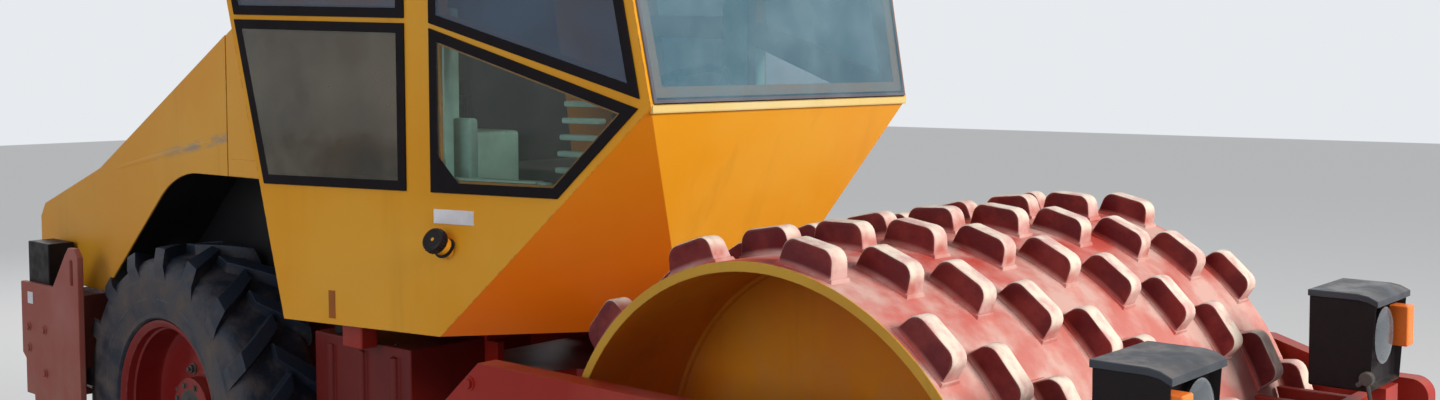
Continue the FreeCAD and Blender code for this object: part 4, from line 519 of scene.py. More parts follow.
# pale, washed-out yellow for the sill under the windscreen: painted highlight
sillHighlightPaint = paintFinish("sillYellowHighlight", (0.72, 0.54, 0.2), (0.72, 0.6, 0.31), 0.4, 0.3, 0.1)
blackPaint = paintFinish("chassisBlack", (0.01, 0.01, 0.012), (0.02, 0.019, 0.02), 0.5, 0.5, 0.3, 1.1)
drumInside = paintFinish("drumInside", (0.66, 0.19, 0.008), (0.72, 0.27, 0.014), 0.5, 0.5, 0.2, 1.3, 0.4)
drumEdge = paintFinish("drumEdge", (0.62, 0.34, 0.04), (0.56, 0.27, 0.03), 0.5, 0.6, 0.2, 0.6, 0.4)
blackPlastic = grainyFinish("blackPlastic", (0.01, 0.007, 0.008), (0.06, 0.055, 0.06), 0.48, 380, 0.3, 0.12,
                            specular=0.14)
lampLid = grainyFinish("lampLid", (0.038, 0.044, 0.054), (0.17, 0.19, 0.21), 0.38, 320, 0.3, 0.15)
rubberSeal = grainyFinish("rubberSeal", (0.012, 0.012, 0.013), (0.05, 0.05, 0.05), 0.62, 300, 0.3, 0.3)
greySeal = grainyFinish("greySeal", colours["seal"], (0.3, 0.31, 0.33), 0.55, 300, 0.2, 0.2)
bandBlack = grainyFinish("bondBand", (0.007, 0.005, 0.006), (0.02, 0.018, 0.018), 0.5, 200, 0.05, 0.1,
                         specular=0.08)
cabinPlastic = grainyFinish("cabinPlastic", colours["cabinGreen"], colours["cabinGreenPale"], 0.6, 350, 0.35,
                            0.2)
palePlastic = grainyFinish("palePlastic", (0.62, 0.62, 0.6), (0.75, 0.75, 0.73), 0.45, 300, 0.15, 0.2)
castIron = grainyFinish("castIron", (0.075, 0.07, 0.066), (0.3, 0.28, 0.26), 0.55, 260, 0.6, 0.4, 0.6, 0.6)
bareSteel = grainyFinish("bareSteel", (0.36, 0.34, 0.32), (0.62, 0.6, 0.58), 0.38, 500, 0.25, 0.3, 0.7, 0.9)
chromeRod = grainyFinish("chromeRod", (0.62, 0.62, 0.63), (0.8, 0.8, 0.8), 0.16, 500, 0.04, 0.1, 0.2, 1.0)
amberPlastic = grainyFinish("amberPlastic", (0.95, 0.2, 0.03), (0.98, 0.42, 0.1), 0.24, 150, 0.05, 0.12)
redPlastic = grainyFinish("redLens", (0.42, 0.012, 0.012), (0.6, 0.08, 0.06), 0.24, 150, 0.05, 0.15)
blankPlate = grainyFinish("blankPlate", (0.66, 0.64, 0.66), (0.5, 0.5, 0.5), 0.35, 300, 0.05, 0.12)
amberStrip = grainyFinish("amberStrip", (0.3, 0.085, 0.012), (0.4, 0.2, 0.05), 0.4, 200, 0.1, 0.15)


# Drum paint: worn pale on the tips, the shell paler where it faces forward as painted light, and the flanks
# of the feet maroon as painted shade
def drumFinish():
    finish = newFinish("drumWorn", 0.5, specular=0.25)
    away = awayFrom(finish, drumX, drumZ)
    # flanks that face along the axle are picked out for the maroon: painted shade
    shadedFlank = rangeIn(finish, sums(finish, "ABSOLUTE", facing(finish, "Y")), 0.62, 0.86)
    onFoot, onTip = rangeIn(finish, away, 0.637, 0.652), rangeIn(finish, away, 0.655, 0.69)
    # surfaces turned to +X get more pale dust colour: painted light from the front
    ahead = rangeIn(finish, facing(finish, "X"), 0.25, 0.85)
    clouds = sums(finish, "ADD", noiseIn(finish, 6, 0.36, 0.72, 5), times(finish, ahead, 0.35))
    clouds = sums(finish, "MINIMUM", clouds, 0.86)
    shell = blendOf(finish, clouds, colours["drumRed"], colours["drumDust"])
    worn = blendOf(finish, noiseIn(finish, 15, 0.35, 0.7), colours["padPink"], colours["padRed"])
    cream = blendOf(finish, noiseIn(finish, 22, 0.4, 0.7), colours["padCream"], colours["padPink"])
    # dark maroon laid on the flanks: painted shade
    across = blendOf(finish, noiseIn(finish, 11, 0.4, 0.7), colours["flankShade"], colours["flankShadeFaded"])
    body = blendOf(finish, onFoot, shell, blendOf(finish, onTip, worn, cream))
    body = blendOf(finish, times(finish, shadedFlank, onFoot), body, across)
    body = blendOf(finish, times(finish, rubbedEdges(finish, 0.008, 26, 0.35, 0.6), onTip), body,
                   colours["padCream"])
    setOn(finish, "Base Color", body)
    setOn(finish, "Roughness", rangeIn(finish, clouds, 0, 1, 0.42, 0.78))
    bumpOn(finish, noiseIn(finish, 60, 0.3, 0.7, 5), 0.35, 0.0015)
    return finish


# Rubber, dusty brown on the sidewall, bluish dark on the tread as a painted sky sheen, with bluish-grey
# edges along the lugs that are partly scuffs and partly painted highlight
def tyreFinish():
    finish = newFinish("tyreRubber", 0.72, specular=0.3)
    side = rangeIn(finish, sums(finish, "ABSOLUTE", facing(finish, "Y")), 0.5, 0.9)
    away = awayFrom(finish, axleX, axleZ)
    dusty = times(finish, side, rangeIn(finish, away, 0.56, 0.46), noiseIn(finish, 9, 0.32, 0.78, 5))
    floor = times(finish, rangeIn(finish, away, 0.575, 0.545), noiseIn(finish, 18, 0.4, 0.75), 0.45)
    dusty = sums(finish, "MAXIMUM", dusty, floor)
    body = blendOf(finish, dusty, colours["rubber"], colours["rubberDust"])
    # bluish-grey along the lug edges: scuffs and a painted highlight
    rubbed = times(finish, rubbedEdges(finish, 0.006, 34, 0.35, 0.6), 0.45)
    setOn(finish, "Base Color", blendOf(finish, rubbed, body, colours["rubberScuffAndHighlight"]))
    setOn(finish, "Roughness", rangeIn(finish, dusty, 0, 1, 0.48, 0.9))
    bumpOn(finish, noiseIn(finish, 85, 0.3, 0.7, 6), 0.4, 0.0012)
    return finish


# Tinted glass with a film of dust that gathers in clouds and dried drops; on the cab's side panes the tint
# is a painted reflection
def glassFinish(name, glassTintAndReflection, cover, film, mottle=0.4):
    finish = newFinish(name, 0.05, specular=0.8)
    clouds, drops = noiseIn(finish, 5, 0.3, 0.75, 6), noiseIn(finish, 130, 0.62, 0.7, 2)
    dust = sums(finish, "MAXIMUM", times(finish, clouds, 0.8), times(finish, drops, 0.6))
    setOn(finish, "Base Color", blendOf(finish, times(finish, dust, mottle), glassTintAndReflection, film))
    setOn(finish, "Alpha", rangeIn(finish, dust, 0, 1, cover, min(0.95, cover + 0.16)))
    setOn(finish, "Roughness", rangeIn(finish, dust, 0, 1, 0.03, 0.22))
    return finish


# Seat cloth: crossed threads, faded in clouds
def weaveFinish():
    finish = newFinish("seatCloth", 0.9)
    shaderOf(finish).inputs["Sheen Weight"].default_value = 0.3
    spots = [spotIn(finish, stretch) for stretch in ((1, 0, 1), (0, 1, 0.2))]
    threads = [addNode(finish, "TexWave", {"Scale": 160, "Distortion": 0.6, "Vector": spot},
                       wave_type="BANDS", bands_direction="DIAGONAL").outputs["Fac"] for spot in spots]
    cross = times(finish, *threads)
    faded = blendOf(finish, noiseIn(finish, 6, 0.35, 0.7), (0.02, 0.021, 0.026), (0.055, 0.055, 0.06))
    setOn(finish, "Base Color", blendOf(finish, cross, faded, (0.085, 0.085, 0.09)))
    bumpOn(finish, cross, 0.5, 0.0008)
    return finish


drumPaint, tyreRubber, seatCloth = drumFinish(), tyreFinish(), weaveFinish()
# dark brown tint and mottled film of the lower side panes stand for the ground they reflect: painted
# reflection, partly real dust
sideGlassGroundReflection = glassFinish("sideGlassGroundReflection", (0.034, 0.032, 0.02), 0.72, (0.135, 0.11, 0.07), 1.0)
# blue for the upper panes: painted sky reflection
upperGlassSkyReflection = glassFinish("upperGlassSkyReflection", (0.014, 0.04, 0.085), 0.62, (0.05, 0.11, 0.19), 0.6)
# dark greenish tint for the panes before the pillar: painted reflection
frontGlassReflection = glassFinish("frontGlassReflection", (0.036, 0.056, 0.04), 0.26, (0.12, 0.12, 0.09))
screenGlass = glassFinish("screenGlass", (0.07, 0.2, 0.285), 0.42, (0.2, 0.32, 0.37), 0.7)
lensGlass = glassFinish("lensGlass", (0.085, 0.105, 0.13), 0.58, (0.2, 0.21, 0.22))
print("finishes made")


# drum: shell, feet, bulkheads

drum = {
    "shell": 0.635, "wall": 0.024, "half": 0.775, "bulkheadDeep": 0.38, "hubDeep": 0.29, "hubRing": 0.105,
    "hubBolts": 10, "rings": 11, "perRing": 12, "ringTurn": 9.14, "firstTurn": 11.2, "firstRing": 0.724,
    "footLong": 0.154, "footTop": 0.132, "footThick": 0.063, "footThin": 0.054, "footHigh": 0.064,
    "footSink": 0.008, "footRound": 0.027, "footEdge": 0.0065, "wear": 0.012, "askew": 0.7,
    "weldEnd": 0.007, "weldSide": 0.006, "weldDeep": 0.014, "weldHigh": 0.0035,
}


def makeDrumSkin():
    outer, inner, half = drum["shell"], drum["shell"] - drum["wall"], drum["half"]
    profile = [(outer, -half), (outer, -half / 2), (outer, 0), (outer, half / 2), (outer, half),
               (inner, half), (inner, 0), (inner, -half)]
    skin = lathe(profile, drumMiddle, steps=144)
    bevelEdges(skin, 0.003, 2, 60)
    smooth(skin, 40)
    for finish in (drumPaint, drumInside, drumEdge):
        skin.data.materials.append(finish)

    def insideOrEnd(centre, normal):
        out = Vector((centre.x - drumX, 0, centre.z - drumZ))
        return abs(normal.y) > 0.3 or normal.dot(out) < 0

    finishFaces(skin, 1, insideOrEnd)
    finishFaces(skin, 2, lambda centre, normal: abs(normal.y) > 0.3)
    return skin


# One foot at the origin, root down, its tip rounded at both ends, with the weld round its root
def makeFootShape():
    halfLong, halfThick, high = drum["footLong"] / 2, drum["footThick"] / 2, drum["footHigh"]
    foot = block((-halfLong, -halfThick, -drum["footSink"]), (halfLong, halfThick, high), 0)
    narrowTop(foot, (drum["footTop"] / drum["footLong"], drum["footThin"] / drum["footThick"], 1))
    nearTop = high - 0.002
    pickEdges(foot, lambda a, b: min(a.z, b.z) > nearTop and abs(a.x - b.x) < 0.001)
    bpy.ops.mesh.bevel(offset=drum["footRound"], segments=5, profile=0.5)
    toObject()
    bevelEdges(foot, drum["footEdge"], 3, 25)
    end, side = halfLong + drum["weldEnd"], halfThick + drum["weldSide"]
    weld = block((-end, -side, -drum["weldDeep"]), (end, side, drum["weldHigh"]), 0)
    narrowTop(weld, (0.93, 0.84, 1))
    bevelEdges(weld, 0.002, 2, 20)
    return smooth(joined([foot, weld]), 38)


def makeFeet():
    shape = makeFootShape()
    feet = []
    pitch = 2 * drum["firstRing"] / (drum["rings"] - 1)
    for ring in range(drum["rings"]):
        for step in range(drum["perRing"]):
            turn = drum["firstTurn"] + ring * drum["ringTurn"] + step * 360 / drum["perRing"]
            foot = copyOf(shape)
            rub = 1 - drum["wear"] * random.random()
            askew = random.uniform(-drum["askew"], drum["askew"])
            foot.data.transform(Matrix.Scale(rub, 4, Vector((0, 0, 1))))
            foot.data.transform(Matrix.Rotation(math.radians(askew), 4, "Z"))
            moved(foot, (drumX, ring * pitch - drum["firstRing"], drumZ + drum["shell"]))
            feet.append(turnedAbout(foot, math.radians(turn), drumMiddle))
    bpy.data.objects.remove(shape)
    return joined(feet)


# Weld between shell and bulkhead on one side
def makeDrumWeld(side):
    y, inside = side * (drum["half"] - drum["bulkheadDeep"]), drum["shell"] - drum["wall"]
    return lathe([(inside + 0.002, y - 0.002 * side), (inside - 0.012, y - 0.001 * side),
                  (inside - 0.008, y + 0.009 * side), (inside + 0.002, y + 0.013 * side)], drumMiddle)


def makeHubBolts(side):
    bolts = []
    for step in range(drum["hubBolts"]):
        turn = 2 * math.pi * step / drum["hubBolts"]
        spot = Vector((drumX + drum["hubRing"] * math.sin(turn), side * (drum["half"] - drum["hubDeep"]),
                       drumZ + drum["hubRing"] * math.cos(turn)))
        bolts.append(boltHead(spot, (0, side, 0), 0.011, 0.009))
    return joined(bolts)


skin = makeDrumSkin()
placed(makeFeet(), "drum_feet", "drum", "drum_paint", drumPaint)
placed(skin, "drum_skin", "drum", "drum_paint")
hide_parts("drum_shell")
dressNode("drum_bulkheads", "drum_paint", 0.0012, drumInside)
placed(smooth(bothSides(makeDrumWeld)), "drum_welds", "drum", "drum_paint", drumInside)
placed(bothSides(makeHubBolts), "drum_hub_bolts", "drum", "steel", bareSteel)
print("drum done")


# tyres and rims

tyre = {
    "outer": 0.578, "half": 0.1575, "middle": 0.6455, "bead": 0.3055, "crownDrop": 0.01,
    "shoulderFrom": 0.72, "shoulderDrop": 0.045, "shoulderSpan": 0.148,
    "lugs": 17, "angle": 42, "lugHigh": 0.034, "lugWide": 0.04, "flare": 0.01, "overlap": 0.018,
    "lugSink": 0.014, "widen": 0.16, "endFrom": 0.86, "endLong": 0.14, "endFloor": 0.075, "endTop": 0.05,
    "endIn": 0.006,
}
# radius and distance from the tyre's middle, from the shoulder in to the bead
sidewall = [(0.52, 0.14), (0.498, 0.1515), (0.47, 0.156), (0.466, 0.1572), (0.458, 0.1572), (0.454, 0.1558),
            (0.42, 0.154), (0.38, 0.147), (0.352, 0.138), (0.348, 0.1395), (0.338, 0.1385), (0.334, 0.134),
            (0.328, 0.118), (0.322, 0.1185), (tyre["bead"], 0.106)]


# Radius of the carcass across the tread, place measured from the tyre's middle
def crownAt(place):
    share = min(1.0, abs(place) / tyre["half"])
    shoulder = max(0.0, share - tyre["shoulderFrom"]) ** 1.5
    return (tyre["outer"] - tyre["lugHigh"] - tyre["crownDrop"] * share ** 2
            - tyre["shoulderDrop"] * shoulder / tyre["shoulderSpan"])


def makeCarcass(side):
    right = [(crownAt(place), place) for place in (0.0, 0.06, 0.11)] + sidewall
    left = mirrored(reversed(right[1:]), -1)
    return smooth(lathe(right + left, (axleX, side * tyre["middle"], axleZ), steps=102), 32)


# One lug of the tread: slanted bar, flared at its foot, running down over the shoulder
def makeLugShape(hand):
    deselectAll()
    bpy.ops.mesh.primitive_cube_add(size=2, location=(0, 0, 0))
    lug = subdivided(bpy.context.object, 7)
    lean = math.tan(math.radians(tyre["angle"]))
    wide = tyre["lugWide"] / 2 / math.cos(math.radians(tyre["angle"]))
    for vertex in lug.data.vertices:
        along, across, up = vertex.co
        share = (along + 1) / 2
        place = -tyre["overlap"] + share * (tyre["half"] + tyre["overlap"])
        floor = crownAt(place) - tyre["lugSink"]
        top = tyre["outer"] - 0.004 * share ** 3
        if share > tyre["endFrom"]:
            end = (share - tyre["endFrom"]) / tyre["endLong"]
            floor -= tyre["endFloor"] * end
            top -= tyre["endTop"] * end ** 2
            place -= tyre["endIn"] * end ** 2 * (1 - up) / 2
        radius = floor + (top - floor) * (up + 1) / 2
        grow = wide * (1.0 + tyre["widen"] * share) + tyre["flare"] * (1 - up) / 2
        turn = (lean * place * (1 - tyre["widen"] * share) + across * grow) / radius
        vertex.co = (axleX + radius * math.sin(turn), hand * place, axleZ + radius * math.cos(turn))
    return smooth(bevelEdges(outward(lug), 0.0035, 2, 42), 40)


def makeTread(side):
    lugs = []
    for hand, offset in ((1, 0.0), (-1, math.pi / tyre["lugs"])):
        shape = makeLugShape(hand)
        for step in range(tyre["lugs"]):
            lug = turnedAbout(copyOf(shape), offset + 2 * math.pi * step / tyre["lugs"], (axleX, 0, axleZ))
            lugs.append(moved(lug, (0, side * tyre["middle"], 0)))
        bpy.data.objects.remove(shape)
    return joined(lugs)


rim = {"bolts": 8, "boltRing": 0.146, "boltFace": 0.0065, "capRing": 0.092, "capFace": 0.04,
       "valveAt": 0.285, "valveOut": 0.06}
# flanges, drop centre, dished disc and hub in one section; places run outwards
rimSection = [
    (0.305, 0.119), (0.3262, 0.12), (0.3268, 0.1295), (0.324, 0.1308), (0.317, 0.129), (0.303, 0.118),
    (0.299, 0.095), (0.293, 0.09), (0.293, 0.015), (0.288, -0.002), (0.27, -0.012), (0.24, -0.015),
    (0.19, -0.012), (0.175, -0.006), (0.115, -0.006), (0.115, 0.038), (0.106, 0.041), (0.07, 0.041),
    (0.064, 0.04), (0.06, 0.03), (0.061, -0.078), (0.115, -0.078), (0.115, -0.037), (0.288, -0.037),
    (0.293, -0.04), (0.293, -0.12), (0.32, -0.1308), (0.3268, -0.129), (0.3262, -0.119), (0.305, -0.119),
]
hubCap = [(0.0001, 0.0605), (0.034, 0.06), (0.04, 0.056), (0.043, 0.043), (0.074, 0.0415), (0.076, 0.036),
          (0.0001, 0.03)]


def makeRim(side):
    return smooth(lathe(mirrored(rimSection, side), (axleX, side * tyre["middle"], axleZ)), 32)


def makeHub(side):
    middle = side * tyre["middle"]
    parts = [lathe(mirrored(hubCap, side), (axleX, middle, axleZ), steps=48)]
    for step in range(rim["bolts"]):
        turn = 2 * math.pi * (step + 0.5) / rim["bolts"]
        across = Vector((math.sin(turn), 0, math.cos(turn)))
        spot = Vector((axleX, middle - side * rim["boltFace"], axleZ)) + across * rim["boltRing"]
        parts.append(boltHead(spot, (0, side, 0), 0.014, 0.016))
        parts.append(rod(spot, spot + Vector((0, side * 0.026, 0)), 0.007, 12, 0.001))
        spot = Vector((axleX, middle + side * rim["capFace"], axleZ)) + across * rim["capRing"]
        parts.append(boltHead(spot, (0, side, 0), 0.009, 0.008))
    return smooth(joined(parts), 32)


def makeValve(side):
    stem = Vector((axleX + rim["valveAt"], side * tyre["middle"] + side * rim["valveOut"], axleZ))
    bend = stem + Vector((-0.012, side * 0.045, 0))
    return joined([rod(stem, bend, 0.005, 12, 0.0008),
                   rod(bend, stem + Vector((-0.016, side * 0.062, 0)), 0.0065, 12, 0.001)])


for side, name in ((-1, "right"), (1, "left")):
    carcass, tread, disc = makeCarcass(side), makeTread(side), makeRim(side)
    placeOnBody("wheel_" + name,
                (carcass, "tyre_body_" + name, "tyre", tyreRubber),
                (tread, "tyre_lugs_" + name, "tyre", tyreRubber),
                (disc, "rim_skin_" + name, "red_paint", rimPaint),
                (makeHub(side), "hub_parts_" + name, "cast_iron", castIron),
                (makeValve(side), "valve_" + name, "rubber", rubberSeal))
    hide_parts("tyre_" + name)
    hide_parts("rim_" + name)
print("wheels done")


# front frame, scrapers, drum supports

dressNodes(("front_frame", "red_paint", 0.005, redPaint), ("scrapers", "red_paint", 0.003, redPaint),
           ("drum_supports", "black_paint", 0.0012, blackPaint),
           ("centre_link", "red_paint", 0.003, redPaint))

frontBits = {
    "beamOut": 0.863, "mountReach": 0.156, "firstBolt": 0.12, "combBolts": 6,
    "beamBolts": [(0.474, 0.955), (1.2, 0.9), (1.52, 0.9), (2.02, 0.7), (2.02, 0.6)],
    "combPlaces": [(2.16, 0.85), (0.455, 0.8)],
    "mountRing": [(0.044, 0.765), (0.0505, 0.768), (0.053, 0.783), (0.0505, 0.798), (0.044, 0.801)],
}
mountPlaces = [(drumX + dx * frontBits["mountReach"], drumZ + dz * frontBits["mountReach"])
               for dx in (-1, 1) for dz in (-1, 1)]


def makeFrontBolts(side):
    face, out = side * frontBits["beamOut"], (0, side, 0)
    bolts = [boltHead((x, face, z), out, 0.013, 0.011) for x, z in mountPlaces]
    bolts += [boltHead((x, face, z), out, 0.013, 0.01) for x, z in frontBits["beamBolts"]]
    for step in range(frontBits["combBolts"]):
        y = side * (frontBits["firstBolt"] + 0.12 * step)
        bolts += [boltHead((x, y, z), (0, 0, 1), 0.009, 0.008) for x, z in frontBits["combPlaces"]]
    return joined(bolts)


def makeRubberMounts(side):
    ring = mirrored(frontBits["mountRing"], side)
    return joined([lathe(ring, (x, 0, z), steps=36) for x, z in mountPlaces])


# front lamps

lamp = {
    "out": 0.566, "wide": 0.228, "rear": 2.117, "edge": 2.282, "face": 2.25, "front": 2.284, "low": 0.968,
    "top": 1.194, "lid": 0.014, "lip": 0.01, "droopFrom": 2.235, "droopLong": 0.057, "droop": 0.02,
    "lens": -0.028, "lensHigh": 1.098, "lever": -0.116, "signalRibs": 6,
    "signal": (2.2505, 2.2975), "signalOut": (0.628, 0.676), "signalLow": 1.058, "signalTop": 1.16,
}
# radius and place along X
bowlProfile = [(0.0001, 2.2535), (0.03, 2.2545), (0.052, 2.26), (0.066, 2.27), (0.07, 2.27), (0.07, 2.2515),
               (0.0001, 2.251)]
bulbProfile = [(0.0001, 2.268), (0.006, 2.267), (0.008, 2.261), (0.006, 2.254), (0.0001, 2.253)]
lensProfile = [(0.0001, 2.279), (0.035, 2.2775), (0.058, 2.274), (0.0695, 2.2705), (0.0695, 2.269),
               (0.0001, 2.2735)]


def makeLampCase(side):
    half, middle = lamp["wide"] / 2, side * lamp["out"]
    case = block((lamp["rear"], middle - half, lamp["low"]), (lamp["edge"], middle + half, lamp["top"]), 0)
    pressFaces(case, facesAhead, 0.01, (lamp["face"] - lamp["edge"], 0, 0))
    pickEdges(case, lambda a, b: max(a.z, b.z) < 0.97 and min(a.x, b.x) > 2.27)
    bpy.ops.transform.translate(value=(-0.014, 0, 0))
    toObject()
    return smooth(bevelEdges(case, 0.006, 3), 32)


# Lid with a lip all round, drooping over the face
def makeLampLid(side):
    half, middle = lamp["wide"] / 2 + lamp["lip"], side * lamp["out"]
    lid = block((lamp["rear"], middle - half, lamp["top"] - 0.002),
                (lamp["front"], middle + half, lamp["top"] + lamp["lid"]), 0)
    for vertex in subdivided(lid, 6).data.vertices:
        vertex.co.z -= lamp["droop"] * (max(0.0, vertex.co.x - lamp["droopFrom"]) / lamp["droopLong"]) ** 2
    return smooth(bevelEdges(lid, 0.005, 3, 40), 32)


# Turned part of the lamp's glass and bowl, on the inner part of the box
def turnedLamp(side, profile, steps=40):
    return lathe(profile, (0, side * (lamp["out"] + lamp["lens"]), lamp["lensHigh"]), (1, 0, 0), steps)


def makeReflector(side):
    return smooth(joined([turnedLamp(side, bowlProfile), turnedLamp(side, bulbProfile, 16)]), 40)


def makeLens(side):
    return smooth(turnedLamp(side, lensProfile), 40)


def makeSignal(side):
    (rear, front), (low, high) = lamp["signal"], sorted(side * y for y in lamp["signalOut"])
    signal = block((rear, low, lamp["signalLow"]), (front, high, lamp["signalTop"]), 0)
    pressFaces(signal, facesAhead, 0.006, (0.0015, 0, 0))
    bevelEdges(signal, 0.004, 3)
    parts = [signal]
    for step in range(lamp["signalRibs"]):
        z = lamp["signalLow"] + 0.0125 * step
        parts.append(block((2.296, low + 0.009, z + 0.014), (2.2995, high - 0.009, z + 0.02), 0.0012))
    return smooth(joined(parts))


# Lever and knob that clamp the box to its post
def makeLampKnob(side):
    y = side * lamp["out"] + lamp["lever"]
    pivot = (2.262, y - 0.01, 1.004)
    return smooth(joined([rod((2.262, y + 0.004, 1.004), (2.262, y - 0.02, 1.004), 0.017, 20, 0.004),
                          rod(pivot, (2.276, y - 0.016, 0.938), 0.005, 12, 0.001),
                          rod(pivot, (2.24, y - 0.012, 0.985), 0.006, 12, 0.001)]))


placeOnBody("front",
            (bothSides(makeFrontBolts), "front_bolts", "steel", redPaint),
            (smooth(bothSides(makeRubberMounts)), "drum_mount_rubbers", "rubber", rubberSeal),
            (bothSides(makeLampCase), "front_lamp_boxes", "black_plastic", blackPlastic),
            (bothSides(makeLampLid), "front_lamp_lids", "black_plastic", lampLid),
            (bothSides(makeReflector), "front_lamp_bowls", "chrome", chromeRod),
            (bothSides(makeLens), "front_lamp_lenses", "glass", lensGlass),
            (bothSides(makeSignal), "front_signals", "pale_plastic", amberPlastic),
            (bothSides(makeLampKnob), "front_lamp_knobs", "cast_iron", castIron))
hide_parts("front_lamps")
print("front done")


# rear frame, tanks, bumper, rear lamps, steps

# the side tanks take the darker red that paints the cab's shadow on them
dressNodes(("rear_frame", "red_paint", 0.003, redPaint), ("side_tanks", "red_paint", 0.006, tankShadedPaint),
           ("rear_bumper", "red_paint", 0.004, bumperPaint), ("rear_axle", "red_paint", 0.004, redPaint),
           ("steps", "black_paint", 0.002, blackPaint), ("inner_fenders", "black_paint", 0.001, blackPaint),
           ("engine_block", "cast_iron", 0.012, castIron), ("radiator", "black_paint", 0.004, blackPaint),
           ("ram_barrel_right", "red_paint", 0.002, redPaint),
           ("ram_rod_right", "chrome", 0.0015, chromeRod),
           ("ram_barrel_left", "red_paint", 0.002, redPaint), ("ram_rod_left", "chrome", 0.0015, chromeRod))

rearBits = {
    "plate": ((-2.122, -0.8672, 0.888), (-2.078, -0.8655, 0.932)),
    "bracket": ((-0.335, -0.7, 0.926), (-0.235, -0.64, 0.998)),
    "tankOut": 0.56, "tankCapAt": -0.5, "tankBolts": (-0.2, -0.35),
    "tankCap": [(0.0001, 0.93), (0.045, 0.93), (0.047, 0.935), (0.047, 0.962), (0.04, 0.968),
                (0.0001, 0.969)],
    "stepHeights": (0.525, 0.725), "gripStart": (-0.578, 0.636), "gripPitch": (0.048, 0.042),
    "grip": (0.03, 0.02),
    "bumperOut": 0.865, "bumperBolts": [(-1.99, 0.8), (-1.99, 0.64), (-2.12, 0.8), (-2.12, 0.72)],
    "bumperEnd": -2.182, "endBolts": (-0.7, -0.45, 0.45, 0.7),
}
rearLamp = {"rear": -2.161, "front": -1.992, "out": (0.745, 0.8427), "low": 0.914, "top": 1.116,
            "lensLow": 0.93, "lensPitch": 0.06, "lensHigh": 0.052, "ribs": 4}


# Filler cap and bolts on a side tank
def makeTankParts(side):
    middle = (rearBits["tankCapAt"], side * rearBits["tankOut"], 0)
    parts = [lathe(rearBits["tankCap"], middle, (0, 0, 1), 32)]
    parts += [boltHead((x, side * 0.6, 0.928), (0, 0, 1), 0.008, 0.007) for x in rearBits["tankBolts"]]
    return joined(parts)


# Raised grip bars on the two steps
def makeTreads():
    (x0, y0), (dx, dy), (long, wide) = rearBits["gripStart"], rearBits["gripPitch"], rearBits["grip"]
    return smooth(joined([block((x0 + row * dx, y0 + column * dy, level - 0.002),
                                (x0 + row * dx + long, y0 + column * dy + wide, level + 0.0035), 0.002)
                          for level in rearBits["stepHeights"] for row in range(6) for column in range(3)]))


# Black box, pressed in at its rear face
def makeRearCase(side):
    low, high = sorted(side * y for y in rearLamp["out"])
    case = block((rearLamp["rear"], low, rearLamp["low"]), (rearLamp["front"], high, rearLamp["top"]), 0)
    pressFaces(case, lambda centre, normal: normal.x < -0.9, 0.01, (0.018, 0, 0))
    return bevelEdges(case, 0.004, 3)


# Ribbed lenses of both boxes: row 0 stops, 1 turns, 2 reverses
def makeRearLenses(row):
    level, parts = rearLamp["lensLow"] + rearLamp["lensPitch"] * row, []
    for side in (-1, 1):
        low, high = sorted(side * y for y in rearLamp["out"])
        parts.append(block((-2.16, low + 0.014, level), (-2.146, high - 0.014, level + rearLamp["lensHigh"]),
                           0.005, 3))
        for step in range(rearLamp["ribs"]):
            z = level + 0.009 * step
            parts.append(block((-2.1612, low + 0.02, z + 0.008), (-2.156, high - 0.02, z + 0.012), 0.001))
    return smooth(joined(parts))


def makeBumperBolts():
    bolts = [boltHead((x, side * rearBits["bumperOut"], z), (0, side, 0), 0.012, 0.01)
             for side in (-1, 1) for x, z in rearBits["bumperBolts"]]
    bolts += [boltHead((rearBits["bumperEnd"], y, 0.85), (-1, 0, 0), 0.012, 0.01)
              for y in rearBits["endBolts"]]
    return joined(bolts)


engine = {
    "cover": ((-1.9, -0.16, 1.278), (-1.42, 0.16, 1.33)), "cylinders": 4, "first": -1.84, "pitch": 0.115,
    "pulley": [(0.0001, -1.975), (0.11, -1.975), (0.115, -1.98), (0.105, -1.988), (0.115, -1.996),
               (0.11, -2.004), (0.0001, -2.004)],
    "filter": [(0.0001, -1.86), (0.08, -1.86), (0.09, -1.85), (0.09, -1.82), (0.086, -1.81), (0.086, -1.56),
               (0.09, -1.55), (0.09, -1.51), (0.08, -1.5), (0.0001, -1.5)],
}


# Cover, manifold and fan drive that show when the hood is up
def makeEngineParts():
    parts = [block(*engine["cover"], 0.018, 3)]
    for step in range(engine["cylinders"]):
        x = engine["first"] + step * engine["pitch"]
        parts.append(rod((x, -0.05, 1.325), (x, 0.05, 1.325), 0.022, 20, 0.004))
        parts.append(rod((x, 0.27, 1.1), (x, 0.345, 1.13), 0.028, 20, 0.003))
    parts.append(rod((-1.88, 0.35, 1.135), (-1.45, 0.35, 1.135), 0.036, 24, 0.008))
    parts.append(lathe(engine["pulley"], (0, 0, 1.02), (1, 0, 0), 40))
    return smooth(joined(parts), 32)


def makeAirFilter():
    body = lathe(engine["filter"], (0, -0.24, 1.375), (1, 0, 0), 40)
    hose = rod((-1.52, -0.24, 1.375), (-1.4, -0.1, 1.32), 0.036, 24, 0.004)
    return smooth(joined([body, hose]), 32)


